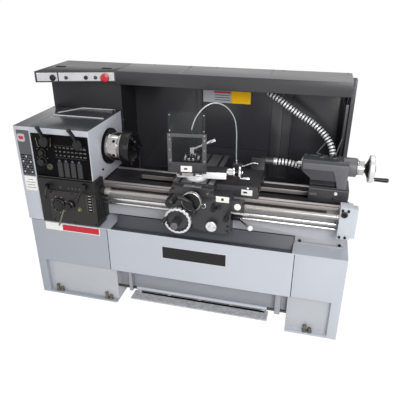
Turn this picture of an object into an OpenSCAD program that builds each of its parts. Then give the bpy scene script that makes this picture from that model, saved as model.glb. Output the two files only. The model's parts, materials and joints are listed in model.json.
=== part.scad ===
// Engine lathe of the 14 x 40 inch class on a fabricated stand, with splash guard and electrical cabinet.
// +X runs along the bed towards the tailstock, the operator stands on the -Y side, and the floor is Z = 0.
// The spindle axis lies over Y = 0.

/* [Stand] */
// Length of the stand
stand_len = 1850; // [1780:5:1900]
// Distance from the origin to the stand's left end
left_reach = 995; // [980:1:1010]
// Height of the stand's rim, on which tray, bed and cabinet stand
stand_h = 532; // [500:1:560]
// Distance from the spindle axis to the stand's front face
front_d = 228; // [220:1:240]
// Distance from the spindle axis to the back of the pedestals
back_d = 230; // [215:1:250]
// Width of the left pedestal at the floor
left_w = 518; // [500:1:540]
// Width of the right pedestal at the floor
right_w = 289; // [275:1:305]
// Wall of the pedestals
ped_wall = 5; // [4:0.5:8]
// Width that the front panel covers of the left pedestal
left_seam = 21; // [15:1:30]
// Width that the front panel covers of the right pedestal
right_seam = 14; // [10:1:20]
// Height of the front panel's lower edge and of the toe recess
panel_low = 247; // [225:1:270]
// Depth of the toe recess
toe_d = 32; // [26:1:40]
// Width of the corner post beside the toe recess
toe_post = 53; // [45:1:65]
// Thickness of the ledge that takes the levelling bolts
ledge_t = 12; // [8:1:16]
// Sheet of panel, tray and guard
sheet = 4; // [3:0.5:5]

/* [Chip tray] */
// Depth of the trough under the rim
tray_d = 32; // [25:1:45]
// Height of the tray's plates under the bed, above the rim
tray_ridge = 34; // [28:1:36]
// Height of the rear upstand above the rim
upstand_h = 110; // [100:1:120]

/* [Bed] */
// Length of the bed
bed_len = 1732; // [1680:2:1760]
// Half width of the bed over the ways
way_out = 132; // [126:1:138]
// Half width of the gap between the shears
way_in = 40; // [34:1:46]
// Half width of the bed over its walls
bed_wall_y = 103; // [98:1:108]
// Wall of the bed
bed_wall = 20; // [16:1:24]
// Height of the flat ways above the rim
way_h = 248; // [240:1:256]
// Height of the V ways above the flats
vee_h = 7; // [5:0.5:9]
// Distance of the V ways from the spindle axis
vee_y = 108; // [104:1:112]
// Height of the lower edge of the bed above the rim
bed_lift = 38; // [34:1:42]
// Half width of the bed's feet
foot_y = 126; // [120:1:132]
// Thickness of the feet's flanges
foot_t = 14; // [10:1:18]

/* [Headstock] */
// Height of the spindle axis above the V ways
centre_h = 174; // [172:1:178]
// Length of the headstock
head_len = 352; // [340:1:360]
// Height of the headstock's top above the spindle axis
head_top = 157; // [150:1:165]
// Distance from the spindle axis to the headstock's front face
head_front = 234; // [230:1:240]
// Distance from the spindle axis to the headstock's back
head_back = 205; // [200:1:209]
// Wall of the headstock
head_wall = 14; // [10:1:18]
// Width of the end cover
cover_w = 102; // [95:1:108]
// Overhang of the end cover beyond the stand
cover_over = 8; // [4:1:12]
// Distance of the control plate's lower edge below the spindle axis
plate_low = 132; // [128:1:136]
// Height of the control plate
plate_h = 256; // [245:1:265]
// Radius of the spindle in its bearings
spindle_r = 45; // [40:1:50]
// Radius of the spindle's bore
spindle_bore = 20; // [15:1:25]
// Radius of the ring behind the chuck
ring_r = 105; // [98:1:110]
// Radius of the spindle nose
nose_r = 80; // [76:1:84]
// Length of the spindle nose
nose_len = 82; // [76:1:86]
// Radius of the chuck
chuck_r = 98; // [92:1:104]
// Length of the chuck's body
chuck_len = 58; // [54:1:62]
// Length of the jaws beyond the chuck's face
jaw_len = 24; // [15:1:28]

/* [Gearbox] */
// Distance from the spindle axis to the gearbox's front face
gear_front = 248; // [244:1:256]
// Length of the gearbox
gear_len = 360; // [350:1:370]
// Height of the gearbox
gear_h = 278; // [272:1:280]
// Height of the gearbox's underside above the rim
gear_lift = 16; // [13:1:19]
// Distance from the spindle axis back to the gearbox's rear wall
gear_back = 142; // [138:1:146]
// Wall of the gearbox
gear_wall = 12; // [8:1:16]

/* [Rods] */
// Distance from the spindle axis to the rods
rod_y = 165; // [162:1:170]
// Radius of the leadscrew
lead_r = 15; // [12:0.5:16]
// Radius of the feed rod
feed_r = 11; // [8:0.5:12]
// Radius of the control rod
start_r = 8.5; // [6:0.5:9]
// Height of the leadscrew above the rim
lead_h = 213; // [210:1:216]
// Height of the feed rod above the rim
feed_h = 171; // [168:1:174]
// Height of the control rod above the rim
start_h = 143; // [140:1:146]

/* [Carriage] */
// Rest position of the cross slide's centre line along X
car_x = 16; // [0:1:30]
// Length of the saddle's wings
saddle_len = 475; // [460:1:490]
// Distance from the saddle's left end to the cross slide's centre line
saddle_left = 136; // [130:1:145]
// Height of the saddle above the flat ways
saddle_h = 66; // [62:1:70]
// Half width of the saddle's wings
wing_y = 130; // [124:1:134]
// Distance from the spindle axis to the apron's front face
apron_front = 215; // [210:1:222]
// Length of the apron
apron_len = 342; // [330:1:350]
// Height of the apron
apron_h = 213; // [206:1:220]
// Wall of the apron
apron_wall = 12; // [9:1:15]
// Radius of the apron handwheel
apron_wheel_r = 75; // [70:1:80]
// Width of the cross slide
cross_w = 220; // [200:2:230]
// Thickness of the cross slide
cross_t = 20; // [18:1:24]
// Distance from the spindle axis to the cross slide's front end
cross_front = 190; // [184:1:196]
// Distance from the spindle axis to the cross slide's rear end
cross_back = 262; // [250:1:270]
// Pitch of the T-slots
slot_pitch = 75; // [60:1:80]
// Width of the T-slots
slot_w = 12; // [10:1:14]
// Radius of the cross slide's dial
dial_r = 52; // [46:1:56]

/* [Compound] */
// Rest angle of the compound
compound_angle = 7; // [0:1:12]
// Distance from the spindle axis to the swivel's centre
swivel_y = 115; // [110:1:120]
// Radius of the swivel base
swivel_r = 62; // [55:1:68]
// Thickness of the swivel base
swivel_t = 14; // [11:1:16]
// Length of the top slide
top_len = 265; // [250:1:275]
// Distance from the top slide's left end to the swivel's centre
top_left = 101; // [95:1:106]
// Width of the top slide
top_w = 90; // [80:1:96]
// Height of the top slide
top_h = 37; // [34:1:40]
// Radius of the top slide's handwheel
top_wheel_r = 40; // [34:1:44]
// Side of the square tool post
post_w = 90; // [80:1:92]
// Height of the tool post
post_h = 58; // [52:1:64]
// Distance from the swivel's centre to the tool post's
post_off = 26; // [20:1:30]
// Depth of the tool slots
tool_d = 20; // [16:1:24]
// Height of the tool slots
tool_h = 20; // [16:1:24]
// Distance from the post's centre to the chip shield
shield_d = 74; // [70:1:80]
// Width of the chip shield
shield_w = 204; // [190:1:214]
// Height of the shield's frame
shield_h = 218; // [205:1:230]
// Height of the shield's pane above the frame
pane_up = 112; // [100:1:120]

/* [Tailstock] */
// Distance from the bed's right end to the tailstock's base
tail_gap = 11; // [6:1:20]
// Length of the tailstock's base
tail_len = 205; // [195:1:215]
// Half width of the tailstock's base
tail_y = 76; // [70:1:80]
// Height of the base above the V ways
tail_base_h = 70; // [64:1:76]
// Length of the barrel
barrel_len = 280; // [270:1:290]
// Radius of the barrel's end behind the handwheel
barrel_r = 50; // [46:1:52]
// Length of the barrel beyond the base's left end
barrel_over = 50; // [44:1:56]
// Radius of the quill
quill_r = 28; // [24:1:32]
// Radius of the dead centre
centre_r = 11; // [9:1:13]
// Length of the dead centre
centre_len = 35; // [30:1:40]
// Half width of the tailstock's body
tail_body_y = 62; // [58:1:66]
// Radius of the tailstock handwheel
tail_wheel_r = 72; // [68:1:78]

/* [Guard] */
// Height of the guard's top above the floor
guard_top = 1360; // [1330:1:1380]
// Distance from the spindle axis to the back of the guard
guard_back = 442; // [438:1:448]
// Distance from the spindle axis to the hood's lip
hood_front = 170; // [160:1:180]
// Height of the hood's lip
lip_h = 77; // [70:1:84]
// Distance from the stand's right end to the hood's right side
hood_gap = 71; // [60:1:80]
// Width of the electrical cabinet
cabinet_w = 462; // [450:1:470]
// Distance from the spindle axis to the cabinet's front
cabinet_front = 212; // [210:1:220]
// Length of the control box along the machine
box_w = 454; // [445:1:460]
// Height of the control box
box_h = 64; // [58:1:70]
// Distance from the spindle axis to the left end of the control box's front
box_front = 44; // [38:1:52]

/* [Brake] */
// Length of the foot brake's tread
tread_len = 829; // [790:1:840]
// Depth of the tread in front of the shaft
tread_d = 82; // [74:1:90]
// Distance from the spindle axis to the brake's shaft
brake_y = 180; // [174:1:182]
// Height of the brake's shaft
brake_z = 105; // [98:1:115]
// Radius of the brake's shaft
brake_r = 8; // [6:0.5:9]
// Height of the skirt's lower edge behind the brake
skirt_z = 84; // [76:1:95]

/* [Hidden] */
$fn = 48;

// Clearance between faces that slide or only rest on each other
slide_gap = 0.3;
// Radial clearance of a shaft in its bore
run_gap = 0.05;
// Overlap that lets a cut pass its face
cut = 1;

stand_x0 = -left_reach;
stand_x1 = stand_x0 + stand_len;
left_in = stand_x0 + left_w;
right_in = stand_x1 - right_w;
cover_x0 = stand_x0 - cover_over;
head_x0 = cover_x0 + cover_w;
head_x1 = head_x0 + head_len;
bed_x0 = head_x0;
bed_x1 = bed_x0 + bed_len;
way_z = stand_h + way_h;
vee_z = way_z + vee_h;
bed_z = stand_h + bed_lift;
axis_z = vee_z + centre_h;
head_z1 = axis_z + head_top;
plate_z0 = axis_z - plate_low;
plate_t = 4;
plate_y = head_front + plate_t;
gear_x0 = head_x0 + 6;
gear_x1 = gear_x0 + gear_len;
gear_z0 = stand_h + gear_lift;
gear_z1 = gear_z0 + gear_h;
gear_cover_t = 6;
gear_cover_y = gear_front + gear_cover_t;
lead_z = stand_h + lead_h;
feed_z = stand_h + feed_h;
start_z = stand_h + start_h;
bracket_x0 = bed_x1 - 50;
bracket_w = 63;
saddle_z0 = way_z + slide_gap;
saddle_z1 = way_z + saddle_h;
saddle_x0 = car_x - saddle_left;
saddle_x1 = saddle_x0 + saddle_len;
bridge_x0 = car_x - cross_w / 2 - 6;
bridge_w = cross_w + 12;
apron_x0 = saddle_x0 + 5;
apron_x1 = apron_x0 + apron_len;
apron_z1 = saddle_z1 - 46;
apron_z0 = apron_z1 - apron_h;
cross_z0 = saddle_z1 + slide_gap;
cross_z1 = cross_z0 + cross_t;
rib_h = 6;
rib_w = 100;
swivel_z0 = cross_z1 + slide_gap;
swivel_z1 = swivel_z0 + swivel_t;
top_z0 = swivel_z1 + slide_gap;
top_z1 = top_z0 + top_h;
post_z0 = top_z1 + slide_gap;
post_z1 = post_z0 + post_h;
screw_z = top_z0 + 13;
tail_x1 = bed_x1 - tail_gap;
tail_x0 = tail_x1 - tail_len;
tail_z1 = vee_z + tail_base_h;
barrel_x0 = tail_x0 - barrel_over;
barrel_x1 = barrel_x0 + barrel_len;
hood_x1 = stand_x1 - hood_gap;
cabinet_x1 = cover_x0 + cabinet_w;
box_x1 = cover_x0 + box_w;
box_z0 = guard_top - box_h;
upstand_z = stand_h + upstand_h;
box_turn = atan2(hood_front - box_front, box_w);
tread_x0 = right_in - 103 - tread_len;

// Block between two corners
module span(a, b) translate(a) cube(b - a);

// Cylinder along X, Y or Z that starts at a place
module rod_x(p, len, r) translate(p) rotate([0, 90, 0]) cylinder(h = len, r = r);
module rod_y(p, len, r) translate(p) rotate([-90, 0, 0]) cylinder(h = len, r = r);
module rod_z(p, len, r) translate(p) cylinder(h = len, r = r);

// Round bar from one point to another
module bar(a, b, r) {
    d = b - a;
    translate(a)
        rotate([0, acos(d[2] / norm(d)), atan2(d[1], d[0])])
            cylinder(h = norm(d), r = r);
}

// Section in the YZ plane, drawn as (Y, Z) and drawn out along X
module along_x(x0, x1)
    translate([x0, 0, 0]) rotate([90, 0, 90]) linear_extrude(x1 - x0) children();

// Unit normal of a stretch, the normal at each point of a bent line, and the sheet along that line
function normal(a, b) = [a[1] - b[1], b[0] - a[0]] / norm(b - a);
function bend_normal(p, i) =
    i == 0 ? normal(p[0], p[1]) :
    i == len(p) - 1 ? normal(p[i - 1], p[i]) :
    let (m = normal(p[i - 1], p[i]), n = normal(p[i], p[i + 1])) (m + n) / (1 + m * n);
module bent_sheet(p, t)
    polygon(concat(p, [for (i = [len(p) - 1 : -1 : 0]) p[i] - t * bend_normal(p, i)]));

// Turned piece along X: pairs of distance along the axis and radius, from the axis out
module turned_x(p, profile)
    translate(p) rotate([0, 90, 0])
        rotate_extrude() polygon([for (q = profile) [q[1], q[0]]]);

// Turned piece towards the operator: distance in front of a place, and radius
module turned_front(p, profile)
    translate(p) rotate([90, 0, 0])
        rotate_extrude() polygon([for (q = profile) [q[1], q[0]]]);

// Tube swept along points, one ring of sides for each point
function along(p, i) = let (a = p[max(i - 1, 0)], b = p[min(i + 1, len(p) - 1)]) (b - a) / norm(b - a);
function side_of(d) = let (u = abs(d[2]) < 0.9 ? [0, 0, 1] : [0, 1, 0], c = cross(u, d)) c / norm(c);
function carried(p, i) =
    i == 0 ? side_of(along(p, 0)) :
    let (s = carried(p, i - 1), d = along(p, i), c = s - d * (s * d)) c / norm(c);
module swept_tube(p, r, sides) {
    frames = [for (i = 0, s = carried(p, 0); i < len(p);
                   i = i + 1, s = i < len(p)
                       ? let (d = along(p, i), c = s - d * (s * d)) c / norm(c) : s)
              [s, cross(along(p, i), s)]];
    points = [for (i = [0 : len(p) - 1]) for (k = [0 : sides - 1])
              p[i] + r * (cos(k * 360 / sides) * frames[i][0] + sin(k * 360 / sides) * frames[i][1])];
    last = len(p) - 1;
    walls = [for (i = [0 : last - 1]) for (k = [0 : sides - 1])
             let (a = i * sides + k, b = i * sides + (k + 1) % sides)
             [a, a + sides, b + sides, b]];
    ends = [[for (k = [0 : sides - 1]) k], [for (k = [sides - 1 : -1 : 0]) last * sides + k]];
    polyhedron(points = points, faces = concat(ends, walls));
}

// Smooth line through route points, with a number of steps for each stretch
function smooth_point(a, b, c, d, t) =
    0.5 * ((2 * b) + (c - a) * t + (2 * a - 5 * b + 4 * c - d) * t * t
           + (3 * b - a - 3 * c + d) * t * t * t);
function smooth(p, steps) = concat(
    [for (i = [0 : len(p) - 2]) for (k = [0 : steps - 1])
     smooth_point(p[max(i - 1, 0)], p[i], p[i + 1], p[min(i + 2, len(p) - 1)], k / steps)],
    [p[len(p) - 1]]);

// Pedestal from its outer end (X = 0) to its inner end
module pedestal(w, seam) {
    top = stand_h - sheet;
    difference() {
        span([0, -front_d, 0], [w, back_d, top]);
        span([toe_post, -front_d - cut, ledge_t], [w + cut, -front_d + toe_d, panel_low + 3]);
        span([w - seam, -front_d - cut, panel_low - slide_gap],
             [w + cut, -front_d + sheet + slide_gap, top + cut]);
        span([ped_wall, -front_d + toe_d + ped_wall, -cut], [w - ped_wall, back_d - ped_wall, top - ped_wall]);
        span([ped_wall, -front_d + sheet + ped_wall, panel_low + 3 + ped_wall],
             [w - ped_wall, 0, top - ped_wall]);
        rod_x([w - ped_wall - cut, -brake_y, brake_z], ped_wall + 2 * cut, brake_r + run_gap);
    }
}

// Where the drive belt passes down into the stand
belt_x = cover_x0 + 40;
belt_w = 44;
motor_z = 300;
motor_pulley_r = 50;
head_pulley_r = 85;
belt_t = 8;

module left_pedestal() color("gainsboro") difference() {
    translate([stand_x0, 0, 0]) pedestal(left_w, left_seam);
    span([belt_x - 4, -head_pulley_r - 2 * belt_t, stand_h - sheet - ped_wall - cut],
         [belt_x + belt_w + 4, head_pulley_r + 2 * belt_t, stand_h]);
}

module right_pedestal() color("gainsboro")
    translate([stand_x1, 0, 0]) mirror([1, 0, 0]) pedestal(right_w, right_seam);

// Front panel with the skirt folded down behind the brake, and the two hangers of the brake's shaft
flange_d = 22;
skirt_y = 150;
hanger_x = [left_in + 88, right_in - 53];
hanger_w = [21, 32];
module front_panel() color("gainsboro") {
    top = stand_h - sheet;
    x0 = left_in + slide_gap;
    x1 = right_in - slide_gap;
    span([left_in - left_seam, -front_d, panel_low], [right_in + right_seam, -front_d + sheet, top]);
    span([x0, -front_d, top - sheet], [x1, -front_d + flange_d, top]);
    span([x0, -front_d, panel_low], [x1, -skirt_y + sheet, panel_low + sheet]);
    span([x0, -skirt_y, skirt_z], [x1, -skirt_y + sheet, panel_low + sheet]);
    difference() {
        for (k = [0, 1])
            span([hanger_x[k] - hanger_w[k] / 2, -brake_y - 16, brake_z - 17],
                 [hanger_x[k] + hanger_w[k] / 2, -skirt_y + cut, panel_low + cut]);
        rod_x([hanger_x[0] - hanger_w[0], -brake_y, brake_z], hanger_x[1] - hanger_x[0] + 2 * hanger_w[1],
              brake_r + run_gap);
    }
}

module chip_tray() color("silver") {
    floor_z = stand_h - tray_d;
    ridge_z = stand_h + tray_ridge;
    x0 = left_in + slide_gap;
    x1 = right_in - slide_gap;
    front = front_d - flange_d - sheet - slide_gap;
    rear = guard_back - sheet;
    half = sheet / 2;
    along_x(x0, x1)
        bent_sheet([[-front_d, stand_h], [-front, stand_h], [-front, floor_z],
                    [-bed_wall_y - 42, floor_z], [-bed_wall_y - 3, ridge_z],
                    [bed_wall_y + 3, ridge_z], [bed_wall_y + 42, floor_z],
                    [rear, floor_z], [rear, upstand_z]], sheet);
    difference() {
        union() {
            span([stand_x0, -front_d, stand_h - sheet], [x0 + sheet, guard_back, stand_h]);
            span([x1 - sheet, -front_d, stand_h - sheet], [stand_x1, guard_back, stand_h]);
            span([x1 - sheet, rear, stand_h - half], [hood_x1, guard_back, upstand_z]);
            span([cabinet_x1 + slide_gap, rear, stand_h - half], [x0 + sheet, guard_back, upstand_z]);
            for (x = [x0, x1 - sheet])
                span([x, -front - half, floor_z - half], [x + sheet, rear + half, stand_h - half]);
        }
        span([belt_x - 4, -head_pulley_r - 2 * belt_t, stand_h - sheet - cut],
             [belt_x + belt_w + 4, head_pulley_r + 2 * belt_t, stand_h + cut]);
    }
}

// Cap screw with its head on a face, pointing up, and a levelling bolt with its nuts beside a lock bolt
module cap_screw(r, h) difference() {
    cylinder(h = h, r = r);
    translate([0, 0, h * 0.45]) cylinder(h = h, r = r * 0.5, $fn = 6);
}
module levelling_bolt() {
    for (b = [[-14, 46, 8], [15, 30, 7]]) translate([b[0], 0, 0]) {
        cylinder(h = 3, r = 14);
        cylinder(h = 14, r = 13, $fn = 6);
        cylinder(h = b[1], r = b[2]);
        translate([0, 0, b[1] - 11]) cylinder(h = 8, r = b[2] + 4, $fn = 6);
    }
}

foot_bolt_y = foot_y - 11;
module bolts() color("dimgray") {
    for (x = [stand_x0 + 115, left_in - 60, stand_x1 - 163])
        translate([x, -front_d + toe_d / 2, ledge_t]) levelling_bolt();
    for (x = [right_in + 32, bed_x1 - 22]) for (y = [-foot_bolt_y, foot_bolt_y])
        translate([x, y, stand_h + foot_t]) cap_screw(8, 9);
    for (x = [bracket_x0 + 12, bracket_x0 + 40]) for (z = [lead_z + 58, start_z - 24])
        translate([x, -200, z]) rotate([90, 0, 0]) cap_screw(7, 7);
}

// One shear of the bed, on the +Y side
module shear() polygon([
    [bed_wall_y, bed_z], [bed_wall_y, way_z - 28], [way_out, way_z - 22], [way_out, way_z],
    [vee_y + 3 + vee_h, way_z], [vee_y + 3, vee_z], [vee_y - 3, vee_z], [vee_y - 3 - vee_h, way_z],
    [way_in, way_z], [way_in, way_z - 25], [bed_wall_y - bed_wall, way_z - 36],
    [bed_wall_y - bed_wall, bed_z]]);

gap_x0 = head_x1 + 180;
rib_pitch = 225;
module bed() color("lightsteelblue") {
    for (side = [0, 1]) mirror([0, side, 0]) along_x(bed_x0, bed_x1) shear();
    span([bed_x0, -way_in - cut, way_z - 25], [gap_x0, way_in + cut, way_z]);
    for (x = [gap_x0 - 20 : rib_pitch : bed_x1 - 30])
        span([x, -bed_wall_y + bed_wall - cut, bed_z + 30], [x + 20, bed_wall_y - bed_wall + cut, way_z - 60]);
    for (x = [[bed_x0, head_x1], [right_in + 4, bed_x1]]) {
        span([x[0], -foot_y, stand_h], [x[1], foot_y, stand_h + foot_t]);
        span([x[0], -bed_wall_y, stand_h], [x[1], bed_wall_y, bed_z + cut]);
    }
    color("gray") span([head_x1 + 40, -bed_wall_y - 14, way_z - 52], [bracket_x0 - 60, -bed_wall_y, way_z - 30]);
}

lid_y0 = 16;
lid_t = 6;
module headstock_case() color("gray") {
    head_low = gear_z1 + slide_gap;
    difference() {
        along_x(head_x0, head_x1)
            polygon([[-head_front, head_low], [-head_front, head_z1], [head_back, head_z1],
                     [head_back, vee_z], [-gear_back + 4, vee_z], [-gear_back + 4, head_low]]);
        along_x(head_x0 + head_wall, head_x1 - head_wall)
            polygon([[-head_front + head_wall, head_low + head_wall],
                     [-head_front + head_wall, head_z1 - head_wall],
                     [head_back - head_wall, head_z1 - head_wall],
                     [head_back - head_wall, vee_z + head_wall],
                     [-gear_back + 4 + head_wall, vee_z + head_wall],
                     [-gear_back + 4 + head_wall, head_low + head_wall]]);
        span([head_x0 - cut, lid_y0, head_z1 - lid_t], [head_x1 - 20, head_back + cut, head_z1 + cut]);
        span([head_x0 + 20, lid_y0 + 16, head_z1 - head_wall - cut],
             [head_x1 - 40, head_back - 20, head_z1]);
        rod_x([head_x0 - cut, 0, axis_z], head_len + 2 * cut, spindle_r + run_gap);
    }
    for (x = [head_x0 + head_wall - cut, head_x1 - head_wall - 40 + cut])
        difference() {
            rod_x([x, 0, axis_z], 40, spindle_r + 25);
            rod_x([x - cut, 0, axis_z], 40 + 2 * cut, spindle_r + run_gap);
        }
}

module headstock_lid() color("dimgray")
    span([head_x0 + slide_gap, lid_y0 + slide_gap, head_z1 - lid_t], [head_x1 - 20 - slide_gap, head_back, head_z1]);

module end_cover() color("gainsboro") difference() {
    span([cover_x0, -head_front, stand_h + 8], [head_x0 - slide_gap, head_back, head_z1]);
    span([cover_x0 + sheet, -head_front + sheet, stand_h], [head_x0, head_back - sheet, head_z1 - sheet]);
    // Hole for bar stock that is fed through the spindle
    rod_x([cover_x0 - cut, 0, axis_z], sheet + 2 * cut, spindle_r);
}

module control_plate() color("black") {
    span([head_x0 + 3, -plate_y, plate_z0], [head_x1 - 5, -head_front, plate_z0 + plate_h]);
    turned_front([head_x0 + 97, -plate_y, axis_z - 66], [[0, 0], [0, 18], [4, 18], [5, 16], [5, 0]]);
}

module gearbox_case() color("dimgray") {
    difference() {
        union() {
            span([gear_x0, -gear_front, gear_z0], [gear_x1, -gear_back, gear_z1]);
            span([gear_x0, -gear_back - cut, gear_z0 + 14], [gear_x1, -bed_wall_y, way_z - 38]);
        }
        span([gear_x0 + gear_wall, -gear_front + gear_wall, gear_z0 + gear_wall + 14],
             [gear_x1 - gear_wall, -rod_y + lead_r + 2, gear_z1 - gear_wall]);
        span([gear_x0 + gear_wall, -rod_y + lead_r, gear_z0 + gear_wall + 14],
             [gear_x1 - gear_wall, -bed_wall_y + cut, way_z - 50]);
        rod_holes(gear_x1 - gear_wall - cut, gear_wall + 2 * cut);
    }
    // Seal boss of the leadscrew
    difference() {
        rod_x([gear_x1 - cut, -rod_y, lead_z], 20, lead_r + 9);
        rod_x([gear_x1 - 2 * cut, -rod_y, lead_z], 20 + 3 * cut, lead_r + run_gap);
    }
}

// Bores that carry the three rods
module rod_holes(x, len) {
    rod_x([x, -rod_y, lead_z], len, lead_r + run_gap);
    rod_x([x, -rod_y, feed_z], len, feed_r + run_gap);
    rod_x([x, -rod_y, start_z], len, start_r + run_gap);
}

gear_cover_x0 = gear_x0 + 67;
module gearbox_cover() color("gray")
    span([gear_cover_x0, -gear_cover_y, gear_z0 + 4], [gear_x1 - 2, -gear_front, gear_z1 - 68]);

module end_bracket() color("dimgray") {
    x1 = bracket_x0 + bracket_w;
    difference() {
        union() {
            span([bracket_x0, -200, start_z - 37], [x1, -way_out - 3, lead_z + 74]);
            span([bracket_x0, -way_out - 3 - cut, start_z - 33], [bed_x1, -bed_wall_y, way_z - 38]);
            span([x1 - cut, -194, start_z - 30], [x1 + 24, -way_out - 8, lead_z + 66]);
        }
        rod_holes(bracket_x0 - cut, bracket_w - 12);
    }
}

motor_r = 105;
module motor() color("dimgray") {
    x0 = head_x0 + 12;
    rod_x([x0, 0, motor_z], 270, motor_r);
    span([x0 + 40, 60, motor_z - 60], [x0 + 230, back_d - ped_wall - slide_gap, motor_z + 60]);
    rod_x([belt_x, 0, motor_z], x0 - belt_x + cut, 14);
    rod_x([belt_x, 0, motor_z], belt_w, motor_pulley_r);
}

// Closed line around two pulleys, one over the other: r is the radius at the bottom and at the top
belt_tilt = asin((head_pulley_r - motor_pulley_r) / (axis_z - motor_z));
function belt_line(r) = concat(
    [for (k = [0 : 16]) let (a = 180 + belt_tilt + k * (180 - 2 * belt_tilt) / 16)
     [r[0] * cos(a), motor_z + r[0] * sin(a)]],
    [for (k = [0 : 20]) let (a = -belt_tilt + k * (180 + 2 * belt_tilt) / 20)
     [r[1] * cos(a), axis_z + r[1] * sin(a)]]);
module drive_belt() color("black") {
    inner = [motor_pulley_r + 2 * slide_gap, head_pulley_r + 2 * slide_gap];
    along_x(belt_x + 4, belt_x + belt_w - 4) difference() {
        polygon(belt_line(inner + [belt_t, belt_t]));
        polygon(belt_line(inner));
    }
}

module electrical_cabinet() color("lightgray") difference() {
    span([cover_x0, cabinet_front, stand_h + slide_gap], [cabinet_x1, guard_back, box_z0]);
    span([cover_x0 + sheet, cabinet_front + sheet, stand_h], [cabinet_x1 - sheet, guard_back - sheet, box_z0 - sheet]);
}

// Control box: its front turns back towards the hood, and carries the controls
switch_z = box_z0 + 27;
switch_at = [104, 297, 409];
lamp_at = [182, 353];
module on_box(along) translate([cover_x0, box_front, switch_z]) rotate([0, 0, box_turn])
    translate([along, 0, 0]) children();
module box_plan(wall) {
    back = guard_back - wall;
    shift = wall / cos(box_turn);
    rise = wall * tan(box_turn);
    polygon([[cover_x0 + wall, box_front + shift + rise], [box_x1 - wall, hood_front + shift - rise],
             [box_x1 - wall, back], [cover_x0 + wall, back]]);
}
module control_box() color("lightgray") {
    difference() {
        translate([0, 0, box_z0 + slide_gap]) linear_extrude(box_h - slide_gap) box_plan(0);
        translate([0, 0, box_z0 + sheet]) linear_extrude(box_h - 2 * sheet) box_plan(sheet);
        span([cover_x0 + 60, cabinet_front + 40, box_z0 - cut], [box_x1 - 60, guard_back - 60, box_z0 + 2 * sheet]);
        for (a = switch_at) on_box(a) rod_y([0, -cut, 0], sheet + 2 * cut, 7 + run_gap);
    }
    for (a = lamp_at)
        on_box(a) turned_front([0, 0, 0], [[0, 0], [0, 11], [4, 11], [4, 8], [12, 6], [12, 0]]);
    for (p = [[cover_x0 + 72, 225], [cover_x0 + 373, 232]])
        span([p[0] - 30, p[1] - 12, guard_top - cut], [p[0] + 30, p[1] + 12, guard_top + 3]);
}

hood_z0 = upstand_z + slide_gap;
flange_x1 = hood_x1 + 36;
module hood() color("dimgray") {
    x0 = box_x1 + slide_gap;
    span([x0, hood_front, guard_top - sheet], [hood_x1, guard_back, guard_top]);
    span([x0, hood_front, guard_top - lip_h], [hood_x1, hood_front + sheet, guard_top]);
    span([hood_x1 - sheet, hood_front, hood_z0], [hood_x1, guard_back, guard_top]);
    // Flange at the back, outside the right side
    translate([0, guard_back, 0]) rotate([90, 0, 0]) linear_extrude(sheet)
        polygon([[hood_x1 - cut, hood_z0], [flange_x1, hood_z0], [flange_x1, guard_top - 35],
                 [flange_x1 - 3, guard_top - 28], [flange_x1 - 10, guard_top - 25], [hood_x1 - cut, guard_top - 25]]);
}

wall_y = guard_back - sheet - slide_gap;
module back_wall() color("dimgray") {
    x0 = cabinet_x1 + slide_gap;
    x1 = hood_x1 - sheet - slide_gap;
    top = guard_top - sheet - slide_gap;
    span([x0, wall_y, hood_z0], [x1, guard_back, top]);
    // Raised centre panel, two stiffening columns and the bottom rail
    span([-91, wall_y - 12, 858], [347, wall_y + cut, top - 60]);
    span([347, wall_y - 22, hood_z0 + 40], [413, wall_y + cut, top - 60]);
    span([469, wall_y - 14, hood_z0 + 40], [x1 - 40, wall_y + cut, top - 60]);
    span([x0 + 40, wall_y - 8, hood_z0 + 15], [x1 - 40, wall_y + cut, hood_z0 + 40]);
    // Gland of the conduit
    rod_y(conduit_route[0], wall_y - conduit_route[0][1], gland_r);
}

// Route of the flexible conduit, from the gland on the wall to the carriage's bracket
conduit_r = 19;
gland_r = conduit_r + 5;
conduit_route = [
    [330, 415, 1235], [330, 390, 1235], [342, 362, 1232], [390, 345, 1210], [450, 335, 1172],
    [520, 325, 1130], [595, 308, 1092], [660, 285, 1045], [709, 255, 990], [727, 225, 930],
    [710, 190, 890], [660, 168, 875], [595, 161, 876], [530, 160, 886], [480, 160, 895],
    [440, 160, 895], [407, 160, 895]];
module conduit() color("silver") swept_tube(smooth(conduit_route, 4), conduit_r, 10);

// Spindle with its pulley, the ring behind the chuck and the nose
ring_x = head_x1 + slide_gap;
ring_len = 19;
nose_x1 = ring_x + ring_len + nose_len;
module spindle() color("silver") difference() {
    union() {
        rod_x([belt_x - 6, 0, axis_z], ring_x - belt_x + 7, spindle_r);
        rod_x([belt_x, 0, axis_z], belt_w, head_pulley_r);
        turned_x([ring_x, 0, axis_z], [[0, 0], [0, ring_r], [ring_len - 3, ring_r],
            [ring_len, ring_r - 3], [ring_len, 0]]);
        turned_x([nose_x1 - nose_len - cut, 0, axis_z], [[0, 0], [0, nose_r], [nose_len - 21, nose_r],
            [nose_len - 20, nose_r - 5], [nose_len - 15, nose_r - 5], [nose_len - 14, nose_r],
            [nose_len - 10, nose_r], [nose_len - 8, nose_r + 9], [nose_len + cut, nose_r + 9],
            [nose_len + cut, 0]]);
    }
    rod_x([belt_x - 8, 0, axis_z], nose_x1 - belt_x + 10, spindle_bore);
}

module chuck() color("dimgray") difference() {
    turned_x([nose_x1, 0, axis_z], [[0, 0], [0, chuck_r - 3], [3, chuck_r], [chuck_len - 4, chuck_r],
        [chuck_len, chuck_r - 4], [chuck_len, 0]]);
    rod_x([nose_x1 - cut, 0, axis_z], chuck_len + 2 * cut, spindle_bore);
    for (a = [30, 150, 270]) translate([0, 0, axis_z]) rotate([a, 0, 0])
        span([nose_x1 + chuck_len - 8, -9, spindle_bore - 4], [nose_x1 + chuck_len + cut, 9, chuck_r + cut]);
}

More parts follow.
